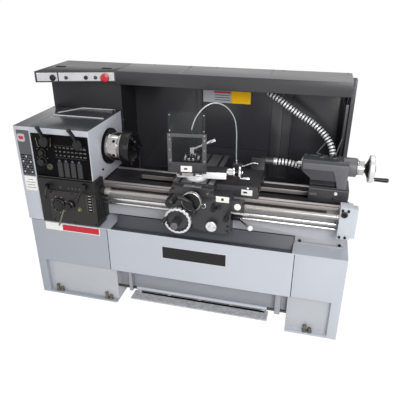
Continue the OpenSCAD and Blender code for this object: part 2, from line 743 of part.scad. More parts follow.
module chuck_jaws() color("silver") {
    x = nose_x1 + chuck_len;
    for (a = [30, 150, 270]) translate([0, 0, axis_z]) rotate([a, 0, 0]) {
        span([x - 8 + slide_gap, -8.5, 30], [x + 2, 8.5, 92]);
        span([x, -8.5, 30], [x + jaw_len, 8.5, 58]);
        span([x, -8.5, 57], [x + jaw_len / 2, 8.5, 78]);
    }
}

// Lever on the front: hub in front of a face, bar to its tip, and a ball on the tip
module front_lever(hub, hub_r, hub_len, tip, bar_r, ball_r) {
    rod_y([hub[0], hub[1] - hub_len, hub[2]], hub_len, hub_r);
    bar([hub[0], hub[1] - hub_len + bar_r + 2, hub[2]], tip, bar_r);
    translate(tip) sphere(r = ball_r, $fn = 24);
}

// Knob on the front, with a skirt and a grip
module front_knob(p, r, len)
    turned_front(p, [[0, 0], [0, r], [4, r], [5, r * 0.8], [len - 2, r * 0.72], [len, r * 0.6], [len, 0]]);

speed_left = [head_x0 + 93, -plate_y - slide_gap, axis_z + 85];
speed_right = [head_x1 - 57, -plate_y - slide_gap, axis_z + 82];
module speed_lever(hub, reach) {
    front_lever(hub, 27, 26, hub + reach, 7, 12);
    bar(hub + reach * 0.55, hub + reach, 10);
}
module speed_lever_left() color("dimgray")
    speed_lever(speed_left, [-4, -52, 90]);
module speed_lever_right() color("dimgray")
    speed_lever(speed_right, [-22, -52, 92]);

upper_knob_at = [head_x0 + 64, -plate_y - slide_gap, axis_z + 18];
lower_knob_at = [head_x0 + 58, -plate_y - slide_gap, axis_z - 35];
module upper_knob() color("black") front_knob(upper_knob_at, 20, 24);
module lower_knob() color("black") front_knob(lower_knob_at, 27, 28);

gear_lever_at = [gear_x0 + 64, -gear_front - slide_gap, gear_z1 - 48];
gear_dial_at = [gear_x0 + 125, -gear_cover_y - slide_gap, gear_z1 - 156];
gear_handle_at = [gear_x0 + 200, -gear_cover_y - slide_gap, gear_z1 - 146];
range_at = [gear_x1 - 62, -gear_front - slide_gap, gear_z1 - 24];
module gearbox_lever() color("black")
    front_lever(gear_lever_at, 16, 28, gear_lever_at + [3, -48, -50], 6, 10);
module gearbox_dial() color("black") difference() {
    turned_front(gear_dial_at, [[0, 0], [0, 42], [9, 42], [12, 39], [12, 0]]);
    for (a = [0 : 40 : 320])
        rod_y(gear_dial_at + [30 * sin(a), -13, 30 * cos(a)], 8, 4);
}
module gearbox_handle() color("dimgray") {
    turned_front(gear_handle_at, [[0, 0], [0, 26], [16, 26], [22, 18], [36, 16], [36, 0]]);
    bar(gear_handle_at + [0, -28, 0], gear_handle_at + [-30, -32, -22], 6);
    bar(gear_handle_at + [-28, -32, -18], gear_handle_at + [-66, -46, -122], 4.5);
}
module range_lever() color("black")
    front_lever(range_at, 18, 26, range_at + [-30, -50, -66], 7, 12);

rod_x0 = gear_x1 - gear_wall - 10;
rod_len = bracket_x0 + bracket_w - 16 - rod_x0;
module leadscrew() color("silver") {
    rod_x([rod_x0, -rod_y, lead_z], rod_len, lead_r);
    difference() {
        rod_x([gear_x1 + 20, -rod_y, lead_z], 34, lead_r + 7);
        rod_x([gear_x1 + 19, -rod_y, lead_z], 36, lead_r - 1);
    }
}
module feed_rod() color("silver") difference() {
    rod_x([rod_x0, -rod_y, feed_z], rod_len, feed_r);
    span([gear_x1 + 30, -rod_y - 3, feed_z + feed_r - 3], [bracket_x0 - 20, -rod_y + 3, feed_z + feed_r + 1]);
}
module control_rod() color("dimgray") rod_x([rod_x0, -rod_y, start_z], rod_len, start_r);

// Shaft of the foot brake, the tube on it, and the tread with the webs that hold it
tube_r = 11;
module foot_brake() color("lightgray") {
    x1 = tread_x0 + tread_len;
    tread_z = brake_z - 25;
    rod_x([left_in - ped_wall + cut, -brake_y, brake_z], right_in - left_in + 2 * ped_wall - 2 * cut, brake_r);
    rod_x([tread_x0 + 12, -brake_y, brake_z], tread_len - 22, tube_r);
    along_x(tread_x0, x1)
        bent_sheet([[-brake_y - tread_d, tread_z], [-brake_y - tread_d, tread_z + 8], [-brake_y - 2, tread_z + 8]], sheet);
    for (k = [0 : 4])
        span([tread_x0 + 20 + k * (tread_len - 60) / 4, -brake_y - 8, tread_z + 5],
             [tread_x0 + 40 + k * (tread_len - 60) / 4, -brake_y - 3, brake_z]);
}

// Slot that the V ways leave in what slides on them
module vee_groove(g) polygon([
    [vee_y - 3 - vee_h - g, way_z - cut], [vee_y - 3 - vee_h - g, way_z + g], [vee_y - 3 - g, vee_z + g],
    [vee_y + 3 + g, vee_z + g], [vee_y + 3 + vee_h + g, way_z + g], [vee_y + 3 + vee_h + g, way_z - cut]]);

// Dovetail rib on top of a slide, and the groove over it, drawn across (X, Z) from its foot
module dovetail(w, h, g) polygon([
    [-w / 2 + h / 2 - g, -cut], [-w / 2 + h / 2 - g, 0], [-w / 2 - g, h + g],
    [w / 2 + g, h + g], [w / 2 - h / 2 + g, 0], [w / 2 - h / 2 + g, -cut]]);

crank_low = 35;
crank_x = car_x + 20;
hose_base = [saddle_x1 - 155, 115, saddle_z1];
module saddle() color("dimgray") {
    difference() {
        union() {
            span([saddle_x0, -wing_y, saddle_z0], [saddle_x1, wing_y, saddle_z1]);
            span([bridge_x0, -apron_front, apron_z1], [bridge_x0 + bridge_w, cross_back - 52, saddle_z1]);
            span([apron_x0, -apron_front, apron_z1], [apron_x1, -wing_y + cut, apron_z1 + 16]);
        }
        for (side = [0, 1]) mirror([0, side, 0])
            along_x(saddle_x0 - cut, saddle_x1 + cut) vee_groove(slide_gap);
        rod_y([crank_x, -apron_front - cut, saddle_z1 - crank_low], 90, 9 + run_gap);
    }
    translate([car_x, cross_back - 52, saddle_z1]) rotate([90, 0, 0])
        linear_extrude(cross_back - 52 + apron_front) dovetail(rib_w, rib_h, 0);
    // Bracket that holds the conduit's end
    span([saddle_x1 - 78, wing_y - cut, way_z + 16], [saddle_x1, wing_y + 14, conduit_route[16][2] + 20]);
    rod_x([saddle_x1 - 20, conduit_route[16][1], conduit_route[16][2]], conduit_route[16][0] - saddle_x1 + 19.5, conduit_r + 4);
}

dial_hub = [apron_x1 + 38, -apron_front - 10, apron_z1 - 30];
feed_lever_at = [apron_x0 + 250, -apron_front - slide_gap, apron_z1 - 62];
half_nut_at = [apron_x0 + 320, -apron_front - slide_gap, apron_z1 - 112];
push_at = [apron_x0 + 241, -apron_front, apron_z0 + 51];
wheel_at = [apron_x0 + 70, -apron_front, apron_z0 + 94];
push_r = 9;
push_travel = 12;
module apron() color("darkgray") {
    difference() {
        union() {
            span([apron_x0, -apron_front, apron_z0], [apron_x1, -way_out - 2, apron_z1]);
            rod_y(wheel_at + [0, -26, 0], 27, 34);
            span([apron_x1 - cut, -apron_front - 10, apron_z1 - 60], [apron_x1 + 69, -rod_y - lead_r - 3, apron_z1 - 4]);
        }
        span([apron_x0 + apron_wall, -apron_front + apron_wall, apron_z0 + apron_wall],
             [apron_x1 - apron_wall, -way_out, apron_z1 - apron_wall]);
        for (q = [[lead_z, lead_r], [feed_z, feed_r], [start_z, start_r]])
            rod_x([apron_x0 - cut, -rod_y, q[0]], apron_len + 2 * cut, q[1] + 1);
        rod_y(wheel_at + [0, -27, 0], 27 + apron_wall + cut, 12 + run_gap);
        rod_y(push_at + [0, -cut, 0], apron_wall + 2 * cut, push_r + run_gap);
        rod_y([dial_hub[0], dial_hub[1] - cut, dial_hub[2]], 16, 4 + run_gap);
    }
    // Oil sight
    turned_front([apron_x0 + 195, -apron_front, apron_z1 - 51], [[0, 0], [0, 14], [6, 14], [7, 11], [7, 0]]);
}

// Crank grip, turned, that points towards the operator
module grip(p, r, len)
    turned_front(p, [[0, 0], [0, r * 0.6], [4, r * 0.6], [8, r * 0.85], [len * 0.6, r], [len - 5, r * 0.85],
                     [len, r * 0.5], [len, 0]]);

module apron_wheel() color("silver") {
    face = wheel_at + [0, -62, 0];
    rod_y(wheel_at + [0, -63, 0], 62 + apron_wall - 2, 12);
    difference() {
        turned_front(face, [[0, 0], [0, apron_wheel_r - 2], [2, apron_wheel_r], [18, apron_wheel_r],
            [20, apron_wheel_r - 3], [20, apron_wheel_r - 14], [8, apron_wheel_r - 20], [8, 24], [30, 22],
            [78, 20], [80, 18], [80, 0]]);
        for (a = [0 : 20 : 340])
            rod_y(face + [(apron_wheel_r + 3) * sin(a), -21, (apron_wheel_r + 3) * cos(a)], 22, 6);
    }
    grip(face + [-64, -14, 10], 13, 84);
}

module feed_lever() color("black") {
    rod_y(feed_lever_at + [0, -15, 0], 15, 15);
    bar(feed_lever_at + [0, -9, 0], feed_lever_at + [0, -15, 35], 5);
    bar(feed_lever_at + [0, -9, 0], feed_lever_at + [32, -17, 16], 5);
    translate(feed_lever_at + [32, -17, 16]) sphere(r = 10, $fn = 24);
}
module half_nut_lever() color("black")
    front_lever(half_nut_at, 15, 18, half_nut_at + [20, -34, 62], 6, 9);
module push_pull_knob() color("silver") {
    rod_y(push_at + [0, -24, 0], 23 + apron_wall, push_r);
    turned_front(push_at + [0, -push_travel - slide_gap, 0],
        [[0, 0], [0, 28], [3, 30], [12, 30], [15, 26], [15, 12], [22, 11], [24, 9], [24, 0]]);
}
module thread_dial() color("white") {
    rod_y(dial_hub + [0, -1, 0], 15, 4);
    turned_front(dial_hub + [0, -slide_gap, 0], [[0, 0], [0, 18], [4, 18], [5, 17], [5, 0]]);
}

control_x = apron_x1 + slide_gap;
module control_lever() color("black") {
    difference() {
        union() {
            rod_x([control_x, -rod_y, start_z], 58, 17);
            bar([control_x + 44, -rod_y - 12, start_z], [control_x + 108, -rod_y - 65, start_z - 20], 7);
        }
        rod_x([control_x - cut, -rod_y, start_z], 60, start_r + run_gap);
    }
    translate([control_x + 110, -rod_y - 66, start_z - 20]) sphere(r = 15, $fn = 32);
}

module cross_slide() color("dimgray") difference() {
    span([car_x - cross_w / 2, -cross_front, cross_z0], [car_x + cross_w / 2, cross_back, cross_z1]);
    translate([car_x, cross_back + cut, saddle_z1]) rotate([90, 0, 0])
        linear_extrude(cross_back + cross_front + 2 * cut) dovetail(rib_w, rib_h, slide_gap);
    for (k = [-1 : 1]) translate([car_x + k * slot_pitch, 0, 0]) {
        span([-slot_w / 2, -cross_front - cut, cross_z1 - 9], [slot_w / 2, cross_back + cut, cross_z1 + cut]);
        span([-slot_w / 2 - 4, -cross_front - cut, cross_z1 - 9],
             [slot_w / 2 + 4, cross_back + cut, cross_z1 - 5]);
    }
}

crank_at = [crank_x, -apron_front, saddle_z1 - crank_low];
module cross_crank() color("silver") {
    rod_y(crank_at + [0, -76, 0], 76 + 80, 9);
    turned_front(crank_at + [0, -slide_gap, 0], [[0, 0], [0, 24], [60, 24], [64, dial_r - 4], [74, dial_r - 2],
        [76, dial_r], [94, dial_r], [96, dial_r - 3], [96, 18], [124, 16], [126, 0]]);
    // Crank arm with a wide grip and a balancing end
    bar(crank_at + [-84, -120, 29], crank_at + [-40, -118, 27], 12);
    bar(crank_at + [-44, -118, 28], crank_at + [4, -112, 4], 12);
    grip(crank_at + [-84, -108, 29], 25, 98);
    bar(crank_at + [0, -112, 0], crank_at + [22, -114, -44], 8);
    translate(crank_at + [22, -114, -46]) sphere(r = 14, $fn = 24);
}

// Place of the compound: its own X runs along the top slide, from the swivel's centre
module on_compound(z) translate([car_x, -swivel_y, z]) rotate([0, 0, compound_angle]) children();

module swivel_base() color("silver") on_compound(0) {
    rod_z([0, 0, swivel_z0], swivel_t, swivel_r);
    translate([-72, 0, swivel_z1]) rotate([90, 0, 90])
        linear_extrude(170) dovetail(44, 8, 0);
}

module top_slide() color("dimgray") on_compound(0) {
    difference() {
        span([-top_left, -top_w / 2, top_z0], [top_len - top_left, top_w / 2, top_z1]);
        translate([-top_left - cut, 0, swivel_z1]) rotate([90, 0, 90])
            linear_extrude(top_len + 2 * cut) dovetail(44, 8, slide_gap);
        rod_x([top_len - top_left - 60, 0, screw_z + 12], 62, 7 + run_gap);
    }
    // Stud of the tool post
    rod_z([-post_off, 0, top_z1 - cut], post_h + 24, 10);
    // Hinge lugs of the chip shield
    for (x = [-post_off - 70, -post_off + 50]) difference() {
        span([x, -shield_d - 6, top_z1 - 16], [x + 14, -top_w / 2 + cut, top_z1 - 2]);
        rod_x([x - cut, -shield_d, top_z1 - 9], 16, 4 + run_gap);
    }
}

module top_slide_wheel() color("silver") on_compound(screw_z + 12) {
    rod_x([top_len - top_left - 50, 0, 0], 134, 7);
    turned_x([top_len - top_left + slide_gap, 0, 0], [[0, 0], [0, 22], [10, 25], [30, 25], [30, 28],
        [42, 28], [42, 14], [62, 12], [62, top_wheel_r - 8], [64, top_wheel_r], [74, top_wheel_r],
        [76, top_wheel_r - 6], [68, top_wheel_r - 12], [68, 12], [84, 11], [84, 0]]);
    turned_x([top_len - top_left + 70, -9, -top_wheel_r + 10], [[0, 0], [0, 5], [8, 5], [12, 6], [40, 8],
        [52, 7], [55, 4], [55, 0]]);
}

module tool_post() color("dimgray") on_compound(post_z0) translate([-post_off, 0, 0]) {
    core = post_w - 2 * tool_d;
    slot_z = 20;
    difference() {
        span([-post_w / 2, -post_w / 2, 0], [post_w / 2, post_w / 2, post_h]);
        difference() {
            span([-post_w / 2 - cut, -post_w / 2 - cut, slot_z], [post_w / 2 + cut, post_w / 2 + cut, slot_z + tool_h]);
            span([-core / 2, -core / 2, slot_z - cut], [core / 2, core / 2, slot_z + tool_h + cut]);
        }
        rod_z([0, 0, -cut], post_h + 2 * cut, 10 + run_gap);
    }
    for (x = [-1, 1]) for (y = [-1, 1]) {
        translate([x * 35, y * 12, post_h - cut]) cap_screw(6, 14);
        translate([x * 12, y * 35, post_h - cut]) cap_screw(6, 14);
    }
}

module clamp_lever() color("silver") on_compound(post_z1 + slide_gap) translate([-post_off, 0, 0]) {
    difference() {
        turned_hub = 63;
        rod_z([0, 0, 0], turned_hub, 13.5);
        rod_z([0, 0, -cut], 24, 10 + run_gap);
    }
    bar([0, 0, 48], [122, 0, 106], 6);
    bar([88, 0, 90], [126, 0, 108], 9);
}

module chip_shield() color("silver") on_compound(top_z1) translate([-post_off - 15, -shield_d, 0]) {
    rod_x([-58, 0, -9], 130, 4);
    difference() {
        span([-shield_w / 2, -3, 2], [shield_w / 2, 0, shield_h]);
        span([-shield_w / 2 + 23, -4, 62], [shield_w / 2 - 22, 1, shield_h - 18]);
    }
    for (x = [-34, 38]) span([x - 6, -4, -13], [x + 6, 0, 3]);
    color("white") span([-shield_w / 2 + 6, 0, shield_h - 60], [shield_w / 2 - 6, 3, shield_h + pane_up]);
}

// Flexible coolant spout on its block
spout_route = [[185, 115, 860], [182, 116, 930], [181, 115, 1000], [178, 113, 1080], [165, 104, 1150],
               [130, 90, 1205], [90, 72, 1232], [50, 50, 1236], [10, 28, 1215], [-25, 5, 1170],
               [-42, -10, 1125], [-50, -20, 1083]];
module coolant_spout() color("black") {
    span(hose_base + [-28, -15, slide_gap], hose_base + [28, 15, 34]);
    translate([hose_base[0] - spout_route[0][0] - 7, 0, saddle_z1 - 846]) {
        swept_tube(smooth(spout_route, 3), 5.5, 8);
        bar(spout_route[10], spout_route[11] + [-2, -3, -12], 8);
    }
}

lock_boss = 6;
body_x0 = barrel_x0 + 7;
body_x1 = tail_x1 - 16;
body_top = axis_z + 38;
module tailstock() color("dimgray") {
    difference() {
        union() {
            along_x(tail_x0, tail_x1)
                polygon([[-tail_y, way_z + slide_gap], [-tail_y, tail_z1 - 6], [-tail_y + 6, tail_z1],
                         [tail_y - 6, tail_z1], [tail_y, tail_z1 - 6], [tail_y, way_z + slide_gap]]);
            intersection() {
                along_x(body_x0, body_x1)
                    polygon([[-tail_body_y, tail_z1 - cut], [-tail_body_y, body_top - 15], [-tail_body_y + 16, body_top],
                             [tail_body_y - 16, body_top], [tail_body_y, body_top - 15], [tail_body_y, tail_z1 - cut]]);
                translate([0, tail_body_y + cut, 0]) rotate([90, 0, 0]) linear_extrude(2 * tail_body_y + 2 * cut)
                    polygon([[tail_x0 + 1, tail_z1 - cut], [tail_x0 + 1, axis_z - 61], [body_x0, axis_z - 26],
                             [body_x0, body_top], [body_x1, body_top], [body_x1, tail_z1 - cut]]);
            }
            rod_x([barrel_x0, 0, axis_z], 20, quill_r + 8);
            turned_x([body_x1 - 30, 0, axis_z], [[0, 0], [0, barrel_r], [barrel_x1 - body_x1 + 26, barrel_r],
                [barrel_x1 - body_x1 + 30, barrel_r - 4], [barrel_x1 - body_x1 + 30, 0]]);
            for (p = [quill_lock_at, base_lock_at]) rod_z(p - [0, 0, 10], 10 + lock_boss, 12);
        }
        // Shallow recess in each face, and the deep one under it
        for (side = [0, 1]) mirror([0, side, 0]) {
            translate([0, -tail_body_y + 8, 0]) rotate([90, 0, 0]) linear_extrude(8 + cut)
                polygon([[body_x0 - cut, axis_z - 10], [tail_x1 - 91, axis_z - 12], [tail_x1 - 71, axis_z - 70],
                         [body_x0 - cut, axis_z - 70]]);
            translate([0, -tail_body_y + 30, 0]) rotate([90, 0, 0]) linear_extrude(30 + cut)
                polygon([[tail_x0, axis_z - 70], [tail_x1 - 71, axis_z - 70], [tail_x1 - 64, tail_z1 + 2],
                         [tail_x0, tail_z1 + 2]]);
        }
        rod_x([barrel_x0 - cut, 0, axis_z], barrel_len - 20, quill_r + run_gap);
        rod_x([barrel_x1 - 22, 0, axis_z], 24, 12 + run_gap);
    }
}

quill_x0 = barrel_x0 - 2;
quill_travel = 100;
module quill() color("silver") {
    difference() {
        rod_x([quill_x0, 0, axis_z], 200, quill_r);
        rod_x([quill_x0 + 60, 0, axis_z], 141, 10);
    }
    turned_x([quill_x0 - centre_len, 0, axis_z],
        [[0, 0], [0, 0.5], [centre_r * 1.6, centre_r], [centre_len + cut, centre_r], [centre_len + cut, 0]]);
}

module tailstock_wheel() color("silver") {
    rod_x([quill_x0 + 70 + 90, 0, axis_z], barrel_x1 - quill_x0 - 90, 8);
    rod_x([barrel_x1 - 18, 0, axis_z], 20, 12);
    turned_x([barrel_x1 + slide_gap, 0, axis_z], [[0, 0], [0, 39], [5, 39], [5, 37], [34, 37], [36, 24], [41, 24],
        [56, tail_wheel_r - 20], [57, tail_wheel_r - 5], [61, tail_wheel_r], [80, tail_wheel_r], [84, tail_wheel_r - 5],
        [80, tail_wheel_r - 14], [70, tail_wheel_r - 18], [58, 22], [92, 20], [92, 0]]);
    turned_x([barrel_x1 + 66, -14, axis_z - 51], [[0, 0], [0, 8], [14, 8], [20, 9.5], [80, 11.5], [93, 11],
        [97, 8], [97, 0]]);
}

// Locking levers on the tailstock: a hub and a thin rod, with an elbow on the quill's
quill_lock_at = [barrel_x0 + 99, 10, body_top];
base_lock_at = [barrel_x0 + 166, 10, body_top];
module lock(p, route) {
    rod_z(p + [0, 0, lock_boss + slide_gap], 10, 8);
    for (i = [1 : len(route) - 1]) bar(p + route[i - 1], p + route[i], 3);
    for (q = route) translate(p + q) sphere(r = 3.8, $fn = 20);
}
module quill_lock() color("dimgray") lock(quill_lock_at, [[0, 0, 11], [-27, -2, 22], [6, -6, 76]]);
module base_lock() color("dimgray") lock(base_lock_at, [[0, 0, 11], [21, -2, 104]]);

module main_switch() color("black") on_box(switch_at[0]) {
    rod_y([0, -slide_gap, 0], sheet + slide_gap, 7);
    turned_front([0, -slide_gap, 0], [[0, 0], [0, 18], [4, 18], [5, 14], [14, 13], [14, 0]]);
    span([-5, -20, -15], [5, -12, 15]);
}
module selector_switch() color("black") on_box(switch_at[1]) {
    rod_y([0, -slide_gap, 0], sheet + slide_gap, 7);
    turned_front([0, -slide_gap, 0], [[0, 0], [0, 12], [4, 12], [5, 10], [10, 9], [10, 0]]);
    span([-3.5, -16, -9], [3.5, -9, 9]);
}
stop_travel = 6;
module stop_button() color("red") on_box(switch_at[2]) {
    rod_y([0, -stop_travel - 10, 0], stop_travel + 11 + sheet, 7);
    turned_front([0, -stop_travel - slide_gap, 0],
        [[0, 0], [0, 13], [6, 15], [8, 25], [14, 25], [19, 21], [21, 12], [21, 0]]);
}

left_pedestal();
right_pedestal();
front_panel();
chip_tray();
bolts();
bed();
headstock_case();
headstock_lid();
end_cover();
control_plate();
gearbox_case();
gearbox_cover();
end_bracket();
motor();
drive_belt();
electrical_cabinet();
control_box();
hood();
back_wall();
conduit();
spindle();
chuck();
chuck_jaws();
speed_lever_left();
speed_lever_right();
upper_knob();
lower_knob();
gearbox_lever();
gearbox_dial();
gearbox_handle();
range_lever();
leadscrew();
feed_rod();
control_rod();
foot_brake();
saddle();
apron();
apron_wheel();
feed_lever();
half_nut_lever();
push_pull_knob();
thread_dial();
control_lever();
cross_slide();
cross_crank();
swivel_base();
top_slide();
top_slide_wheel();
tool_post();
clamp_lever();
chip_shield();
coolant_spout();
tailstock();
quill();
tailstock_wheel();
quill_lock();
base_lock();
main_switch();
selector_switch();
stop_button();
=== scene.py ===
"""Engine lathe: camera, light, finishes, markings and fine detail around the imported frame.

Metres throughout, in the frame of the CAD part: +X towards the tailstock, the operator on the -Y side,
+Z up from the floor. Places come from the boxes of the CAD nodes.
"""
import json
import math

import bmesh
import bpy
from mathutils import Matrix, Vector


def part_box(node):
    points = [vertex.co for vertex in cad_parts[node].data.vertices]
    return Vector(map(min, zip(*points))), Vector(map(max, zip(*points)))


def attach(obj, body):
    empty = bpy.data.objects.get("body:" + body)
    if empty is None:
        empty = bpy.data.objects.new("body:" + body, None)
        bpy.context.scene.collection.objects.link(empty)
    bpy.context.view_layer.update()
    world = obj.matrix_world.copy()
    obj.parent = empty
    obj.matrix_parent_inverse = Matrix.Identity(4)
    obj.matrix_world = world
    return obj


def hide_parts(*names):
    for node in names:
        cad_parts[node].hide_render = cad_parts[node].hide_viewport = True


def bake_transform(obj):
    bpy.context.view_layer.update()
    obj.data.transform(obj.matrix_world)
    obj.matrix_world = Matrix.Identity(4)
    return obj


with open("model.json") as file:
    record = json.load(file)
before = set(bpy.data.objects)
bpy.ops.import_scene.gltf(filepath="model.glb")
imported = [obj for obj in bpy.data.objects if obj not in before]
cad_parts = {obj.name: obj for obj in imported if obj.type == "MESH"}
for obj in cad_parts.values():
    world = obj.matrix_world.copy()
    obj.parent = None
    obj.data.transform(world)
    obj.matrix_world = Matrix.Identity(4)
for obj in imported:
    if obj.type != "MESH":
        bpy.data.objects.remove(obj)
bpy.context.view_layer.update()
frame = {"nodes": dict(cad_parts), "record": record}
scene = bpy.context.scene

X, Y, Z = Vector((1, 0, 0)), Vector((0, 1, 0)), Vector((0, 0, 1))
# Right and up of a face, as someone in front of it sees them
FRONT, RIGHT = (X, Z), (Y, Z)
LOW = {name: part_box(name)[0] for name in frame["nodes"]}
HIGH = {name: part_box(name)[1] for name in frame["nodes"]}
BODY = {n: body for body, nodes in frame["record"]["behaviour"]["bodies"].items() for n in nodes}

AXIS = Vector((0, 0, 0.961))      # a point of the spindle axis
WAY_TOP = 0.780                   # flat ways
# The tray's floor between the pedestals is painted dark as shade
TRAY_ENDS = (-0.478, 0.567)       # inner faces of the pedestals, where the tray's dark floor ends
WING_FRONT, APRON_FRONT = -0.130, -0.215    # the saddle's wings and the apron
APRON_HUB = Vector((-0.045, APRON_FRONT, 0.681))
CRANK = Vector((0.036, APRON_FRONT, 0.811))
TAIL_END = Vector((HIGH["tailstock"].x, 0, AXIS.z))

# Swivelled compound: the top slide's directions and the start of its handwheel
COMPOUND = Vector((0.016, -0.115, 0))
COMPOUND_TURN = math.radians(7)
ALONG = Vector((math.cos(COMPOUND_TURN), math.sin(COMPOUND_TURN), 0))
ACROSS = Z.cross(ALONG)
TOP_WHEEL = COMPOUND + 0.164 * ALONG + 0.9059 * Z

# Front of the control box: its left end, the direction along it, and the way it faces
BOX = Vector((-1.003, 0.044, 1.323))
BOX_ALONG = Vector((0.454, 0.126, 0)).normalized()
BOX_OUT = BOX_ALONG.cross(Z)
BOX_TOP = 1.36


# ---- Camera, floor and light -----------------------------

def add_object(name, data):
    """Object in the scene, made from its data"""
    made = bpy.data.objects.new(name, data)
    scene.collection.objects.link(made)
    return made


def add_camera():
    """Camera at the photograph's viewing angle, from its right and down directions"""
    right = Vector((0.96803426, 0.25081567, -0.00108387))
    down = Vector((0.10880124, -0.42380898, -0.89919311))
    forward = right.cross(down)
    data = bpy.data.cameras.new("camera")
    data.lens, data.sensor_width = 41.69, 36
    data.clip_end = 300
    camera = add_object("camera", data)
    turn = Matrix((right, -down, -forward)).transposed()
    camera.matrix_world = Matrix.Translation((0.61884, -2.36966, 1.86381)) @ turn.to_4x4()
    scene.camera = camera


def area_light(name, place, target, size, power):
    """Square soft light that looks at a point"""
    data = bpy.data.lights.new(name, "AREA")
    data.shape, data.size, data.energy = "SQUARE", size, power
    light = add_object(name, data)
    light.location = place
    light.rotation_euler = (Vector(target) - Vector(place)).to_track_quat("-Z", "Y").to_euler()


def add_node(tree, kind, links=(), **settings):
    """Shader node with its settings; links are pairs of an input and a socket or a value"""
    made = tree.nodes.new("ShaderNode" + kind)
    for key, value in settings.items():
        setattr(made, key, value)
    for key, value in links:
        if isinstance(value, bpy.types.NodeSocket):
            tree.links.new(value, made.inputs[key])
        else:
            made.inputs[key].default_value = value
    return made


def combine(tree, operation, a, b):
    """Result of two numbers, each a socket or a value"""
    return add_node(tree, "Math", [(0, a), (1, b)], operation=operation).outputs[0]


def white_for_eye(tree, shader, backdrop, share):
    """Mixes a shader with plain white for the rays that show the background"""
    rays = add_node(tree, "LightPath").outputs
    clear = combine(tree, "MAXIMUM", rays["Is Glossy Ray"], rays["Is Transmission Ray"])
    seen = combine(tree, "MAXIMUM", rays["Is Camera Ray"], clear)
    amount = combine(tree, "MULTIPLY", seen, share)
    return add_node(tree, "MixShader", [(0, amount), (1, shader), (2, backdrop)]).outputs[0]


def add_stage():
    """Pale floor, white surroundings and soft studio lights"""
    world = bpy.data.worlds.new("surroundings")
    scene.world = world
    world.use_nodes = True
    tree, white, ambient = world.node_tree, (1, 1, 1, 1), 0.27
    light = tree.nodes["Background"]
    light.inputs["Color"].default_value = white
    light.inputs["Strength"].default_value = ambient
    plain = add_node(tree, "Background", [("Color", white), ("Strength", 1.0)])
    out = white_for_eye(tree, light.outputs[0], plain.outputs[0], 1.0)
    tree.links.new(out, tree.nodes["World Output"].inputs["Surface"])

    g = Graph("pale_floor")
    g.put("Base Color", (0.9, 0.9, 0.9, 1))
    g.put("Roughness", 0.9)
    g.put("Specular IOR Level", 0.1)
    glow = g.node("Emission", [("Strength", 1.1)])
    g.show(white_for_eye(g.tree, g.shader.outputs[0], glow.outputs[0], 0.88))
    bm = bmesh.new()
    bmesh.ops.create_grid(bm, x_segments=1, y_segments=1, size=90)
    mesh = bpy.data.meshes.new("floor")
    bm.to_mesh(mesh)
    mesh.materials.append(g.material)
    floor = add_object("floor", mesh)

    scene.view_settings.view_transform = "Standard"
    area_light("key", (1.8, -3.8, 2.9), (0, 0, 0.7), 2.2, 175)
    area_light("fill", (-3.2, -3.0, 2.2), (-0.4, 0, 0.8), 2.0, 18)
    area_light("top", (0.3, 1.3, 4.4), (0, 0, 0.9), 2.6, 55)


# ---- Materials -------------------------------------------

def linear(rgb):
    """Linear colour of the usual 0-255 values"""
    parts = [c / 255 for c in rgb]
    return [c / 12.92 if c <= 0.04045 else ((c + 0.055) / 1.055) ** 2.4 for c in parts]


class Graph:
    """A material and the few nodes that its finish is made of"""

    def __init__(self, name):
        self.material = bpy.data.materials.new(name)
        self.material.use_nodes = True
        self.tree = self.material.node_tree
        self.shader = self.tree.nodes["Principled BSDF"]
        self.place = self.node("TexCoord").outputs["Object"]

    def node(self, kind, links=(), **settings):
        return add_node(self.tree, kind, links, **settings)

    def noise(self, scale, detail, stretch=(1, 1, 1)):
        at = self.node("Mapping", [("Vector", self.place), ("Scale", stretch)])
        made = self.node("TexNoise", [("Vector", at.outputs[0]), ("Scale", scale), ("Detail", detail)])
        return made.outputs["Fac"]

    def spread(self, value, low, high, start=0.3, end=0.7):
        made = self.node("MapRange", [("Value", value), ("From Min", start), ("From Max", end),
                                      ("To Min", low), ("To Max", high)])
        return made.outputs["Result"]

    def mix(self, amount, a, b):
        """Blend of two colours, which are lists or sockets"""
        a, b = [[*c, 1] if isinstance(c, list) else c for c in (a, b)]
        return self.node("Mix", [(0, amount), (6, a), (7, b)], data_type="RGBA").outputs[2]

    def put(self, name, value):
        """Gives an input of the shader a socket or a value"""
        if isinstance(value, bpy.types.NodeSocket):
            self.tree.links.new(value, self.shader.inputs[name])
        else:
            self.shader.inputs[name].default_value = value

    def show(self, socket):
        self.tree.links.new(socket, self.tree.nodes["Material Output"].inputs["Surface"])

    def edges(self, radius, start, end):
        """1 on worn convex edges, 0 on faces, broken up by noise"""
        round_normal = self.node("Bevel", [("Radius", radius)], samples=4).outputs[0]
        flat_normal = self.node("NewGeometry").outputs["Normal"]
        dot = self.node("VectorMath", [(0, round_normal), (1, flat_normal)], operation="DOT_PRODUCT")
        bent = self.spread(dot.outputs["Value"], 1, 0, 1 - end, 1 - start)
        broken = self.spread(self.noise(60, 4), 0, 1, 0.42, 0.6)
        return combine(self.tree, "MULTIPLY", bent, broken)


